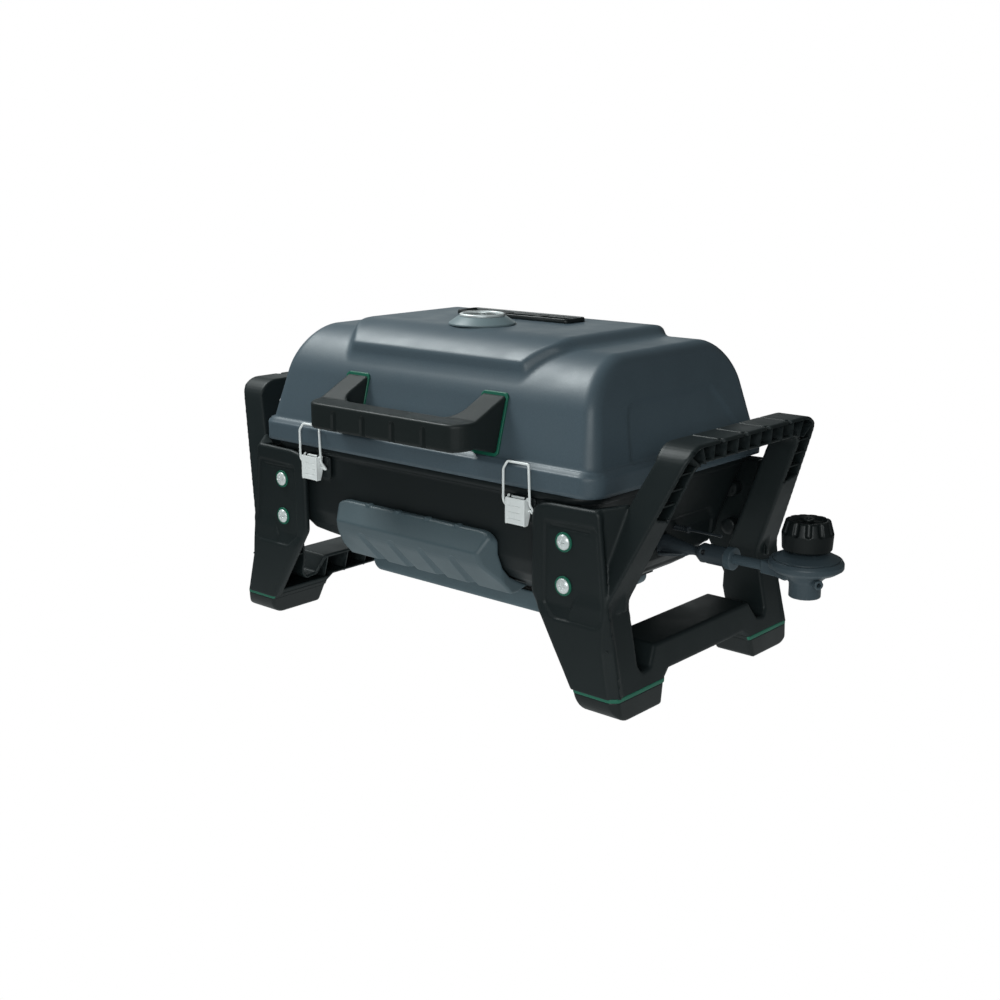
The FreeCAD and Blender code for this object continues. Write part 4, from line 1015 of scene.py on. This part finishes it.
def knob_field(x, y, z):
    u, v = x - REG_X, y - GAS_Y
    r = np.hypot(u, v)
    low, top, radius = 154.0, 184.0, 25.5
    outer = polygon(r, z, [(-9, low), (radius - 1, low, 2), (radius, low + 17, 3),
                           (radius - 3.6, top, 2.5), (radius - 7.5, top, 1.5),
                           (radius - 9, top - 3, 1), (-9, top - 3)])
    sector = 2 * math.pi / 12
    angle = (np.arctan2(v, u) + sector / 2) % sector - sector / 2
    pu, pv = r * np.cos(angle), r * np.sin(angle)
    start = np.array([radius + 0.4, low + 20])
    way = np.array([-3.6, top + 4 - start[1]])
    t = np.clip(((pu - start[0]) * way[0] + (z - start[1]) * way[1]) / (way @ way), 0, 1)
    off_u, off_z = pu - start[0] - way[0] * t, z - start[1] - way[1] * t
    body = cut(outer, np.sqrt(off_u ** 2 + pv ** 2 + off_z ** 2) - 3.5, 0.7)
    hub = rmax(rrect(r, z - top, 6, 0.9, 0.5), -r + 3, 0.4)
    spokes = np.maximum(np.abs(np.cos(np.arctan2(v, u) * 3) * r) - 1.1, r - 17)
    body = rmin(body, np.maximum(spokes, span(z, top - 4, top - 2.1)), 0.6)
    body = rmin(body, np.maximum(hub, -z + top - 4), 0.8)
    bore = np.maximum(r - 3.95, z - low - 5.05)
    return np.maximum(body, -bore)


def build_knob():
    low, high = (REG_X - 27, GAS_Y - 27, 152), (REG_X + 27, GAS_Y + 27, 186)
    vertices, faces = surface(knob_field, low, high, 0.7)
    make_piece("knob", vertices, faces, "knob", ["control_knob"], KNOB, "knob_plastic")


def finish_carried():
    """Materials for the nodes that are shown as they are in the CAD."""
    for node, finish in CARRIED.items():
        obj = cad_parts[node]
        if not obj.material_slots:
            obj.data.materials.append(finish)
        for place in obj.material_slots:
            place.material = finish


# ------ studio


def build_studio():
    """A white floor that glows round the grill, a white background and three softboxes."""
    floor_mesh = bpy.data.meshes.new("floor")
    reach = 30.0
    corners = [(u * reach, v * reach, 0) for u, v in ((-1, -1), (1, -1), (1, 1), (-1, 1))]
    floor_mesh.from_pydata(corners, [], [(0, 1, 2, 3)])
    floor = bpy.data.objects.new("floor", floor_mesh)
    floor.location.z = -0.0005
    bpy.context.scene.collection.objects.link(floor)
    paper = bpy.data.materials.new("floor_paper")
    paper.use_nodes = True
    nodes, links = paper.node_tree.nodes, paper.node_tree.links
    nodes.clear()
    out, blend = nodes.new("ShaderNodeOutputMaterial"), nodes.new("ShaderNodeMixShader")
    glow, white = nodes.new("ShaderNodeEmission"), nodes.new("ShaderNodeEmission")
    place, away = nodes.new("ShaderNodeTexCoord"), nodes.new("ShaderNodeVectorMath")
    fade, ray = nodes.new("ShaderNodeMapRange"), nodes.new("ShaderNodeLightPath")
    away.operation = "LENGTH"
    fade.interpolation_type = "SMOOTHSTEP"
    fade.inputs["From Min"].default_value, fade.inputs["From Max"].default_value = 0.3, 1.0
    fade.inputs["To Min"].default_value, fade.inputs["To Max"].default_value = 1.0, 0.08
    sheen = nodes.new("ShaderNodeMath")
    sheen.operation = "MULTIPLY_ADD"
    sheen.inputs[1].default_value, sheen.inputs[2].default_value = -0.6, 1.0
    links.new(ray.outputs["Is Glossy Ray"], sheen.inputs[0])
    power = nodes.new("ShaderNodeMath")
    power.operation = "MULTIPLY"
    links.new(fade.outputs["Result"], power.inputs[0])
    links.new(sheen.outputs["Value"], power.inputs[1])
    links.new(place.outputs["Object"], away.inputs[0])
    links.new(away.outputs["Value"], fade.inputs["Value"])
    links.new(power.outputs["Value"], glow.inputs["Strength"])
    glow.inputs["Color"].default_value = (0.94, 1, 1, 1)
    white.inputs["Color"].default_value = (1, 1, 1, 1)
    links.new(ray.outputs["Is Camera Ray"], blend.inputs["Fac"])
    links.new(glow.outputs["Emission"], blend.inputs[1])
    links.new(white.outputs["Emission"], blend.inputs[2])
    links.new(blend.outputs["Shader"], out.inputs["Surface"])
    floor_mesh.materials.append(paper)

    world = bpy.data.worlds.new("studio")
    world.use_nodes = True
    nodes, links = world.node_tree.nodes, world.node_tree.links
    nodes.clear()
    out = nodes.new("ShaderNodeOutputWorld")
    seen, glow = nodes.new("ShaderNodeBackground"), nodes.new("ShaderNodeBackground")
    seen.inputs["Color"].default_value = (1, 1, 1, 1)
    glow.inputs["Strength"].default_value = 0.1
    glow.inputs["Color"].default_value = (0.9, 1, 1, 1)
    pick, ray = nodes.new("ShaderNodeMixShader"), nodes.new("ShaderNodeLightPath")
    links.new(ray.outputs["Is Camera Ray"], pick.inputs["Fac"])
    links.new(glow.outputs["Background"], pick.inputs[1])
    links.new(seen.outputs["Background"], pick.inputs[2])
    links.new(pick.outputs["Shader"], out.inputs["Surface"])
    bpy.context.scene.world = world

    aim = Vector((0, 0, 0.18))

    def softbox(name, at, size, power):
        light = bpy.data.lights.new(name, "AREA")
        light.shape = "RECTANGLE"
        light.size, light.size_y = size
        light.energy = power
        light.color = (0.94, 1, 1)
        obj = bpy.data.objects.new(name, light)
        obj.location = at
        obj.rotation_euler = (aim - Vector(at)).to_track_quat("-Z", "Y").to_euler()
        bpy.context.scene.collection.objects.link(obj)

    softbox("high_left", (-1.3, -0.4, 1.95), (1.2, 0.8), 41)
    softbox("back_left", (-1.9, 2.1, 0.9), (1.8, 1.0), 3)
    softbox("front_right", (1.3, -1.9, 0.9), (1.5, 1.0), 20)


def build_camera():
    camera = bpy.data.cameras.new("camera")
    camera.lens, camera.sensor_width = 49.49, 36.0
    camera.clip_end = 100
    azimuth, elevation, distance = math.radians(41.11), math.radians(13.79), 1.5818
    aim = Vector((-11.6 * MM + ORIGIN[0], ORIGIN[1], 0.146))
    level = math.cos(elevation)
    back = Vector((math.sin(azimuth) * level, -math.cos(azimuth) * level, math.sin(elevation)))
    obj = bpy.data.objects.new("camera", camera)
    obj.location = aim + back * distance
    obj.rotation_euler = (-back).to_track_quat("-Z", "Y").to_euler()
    bpy.context.scene.collection.objects.link(obj)
    bpy.context.scene.camera = obj
    bpy.context.scene.view_settings.view_transform = "Standard"


for build in (build_lid, build_handle, build_gauge, build_trim, build_firebox, build_shield,
              build_tray, build_legs, build_bolts, build_latches, build_regulator, build_knob,
              finish_carried, build_studio, build_camera):
    build()
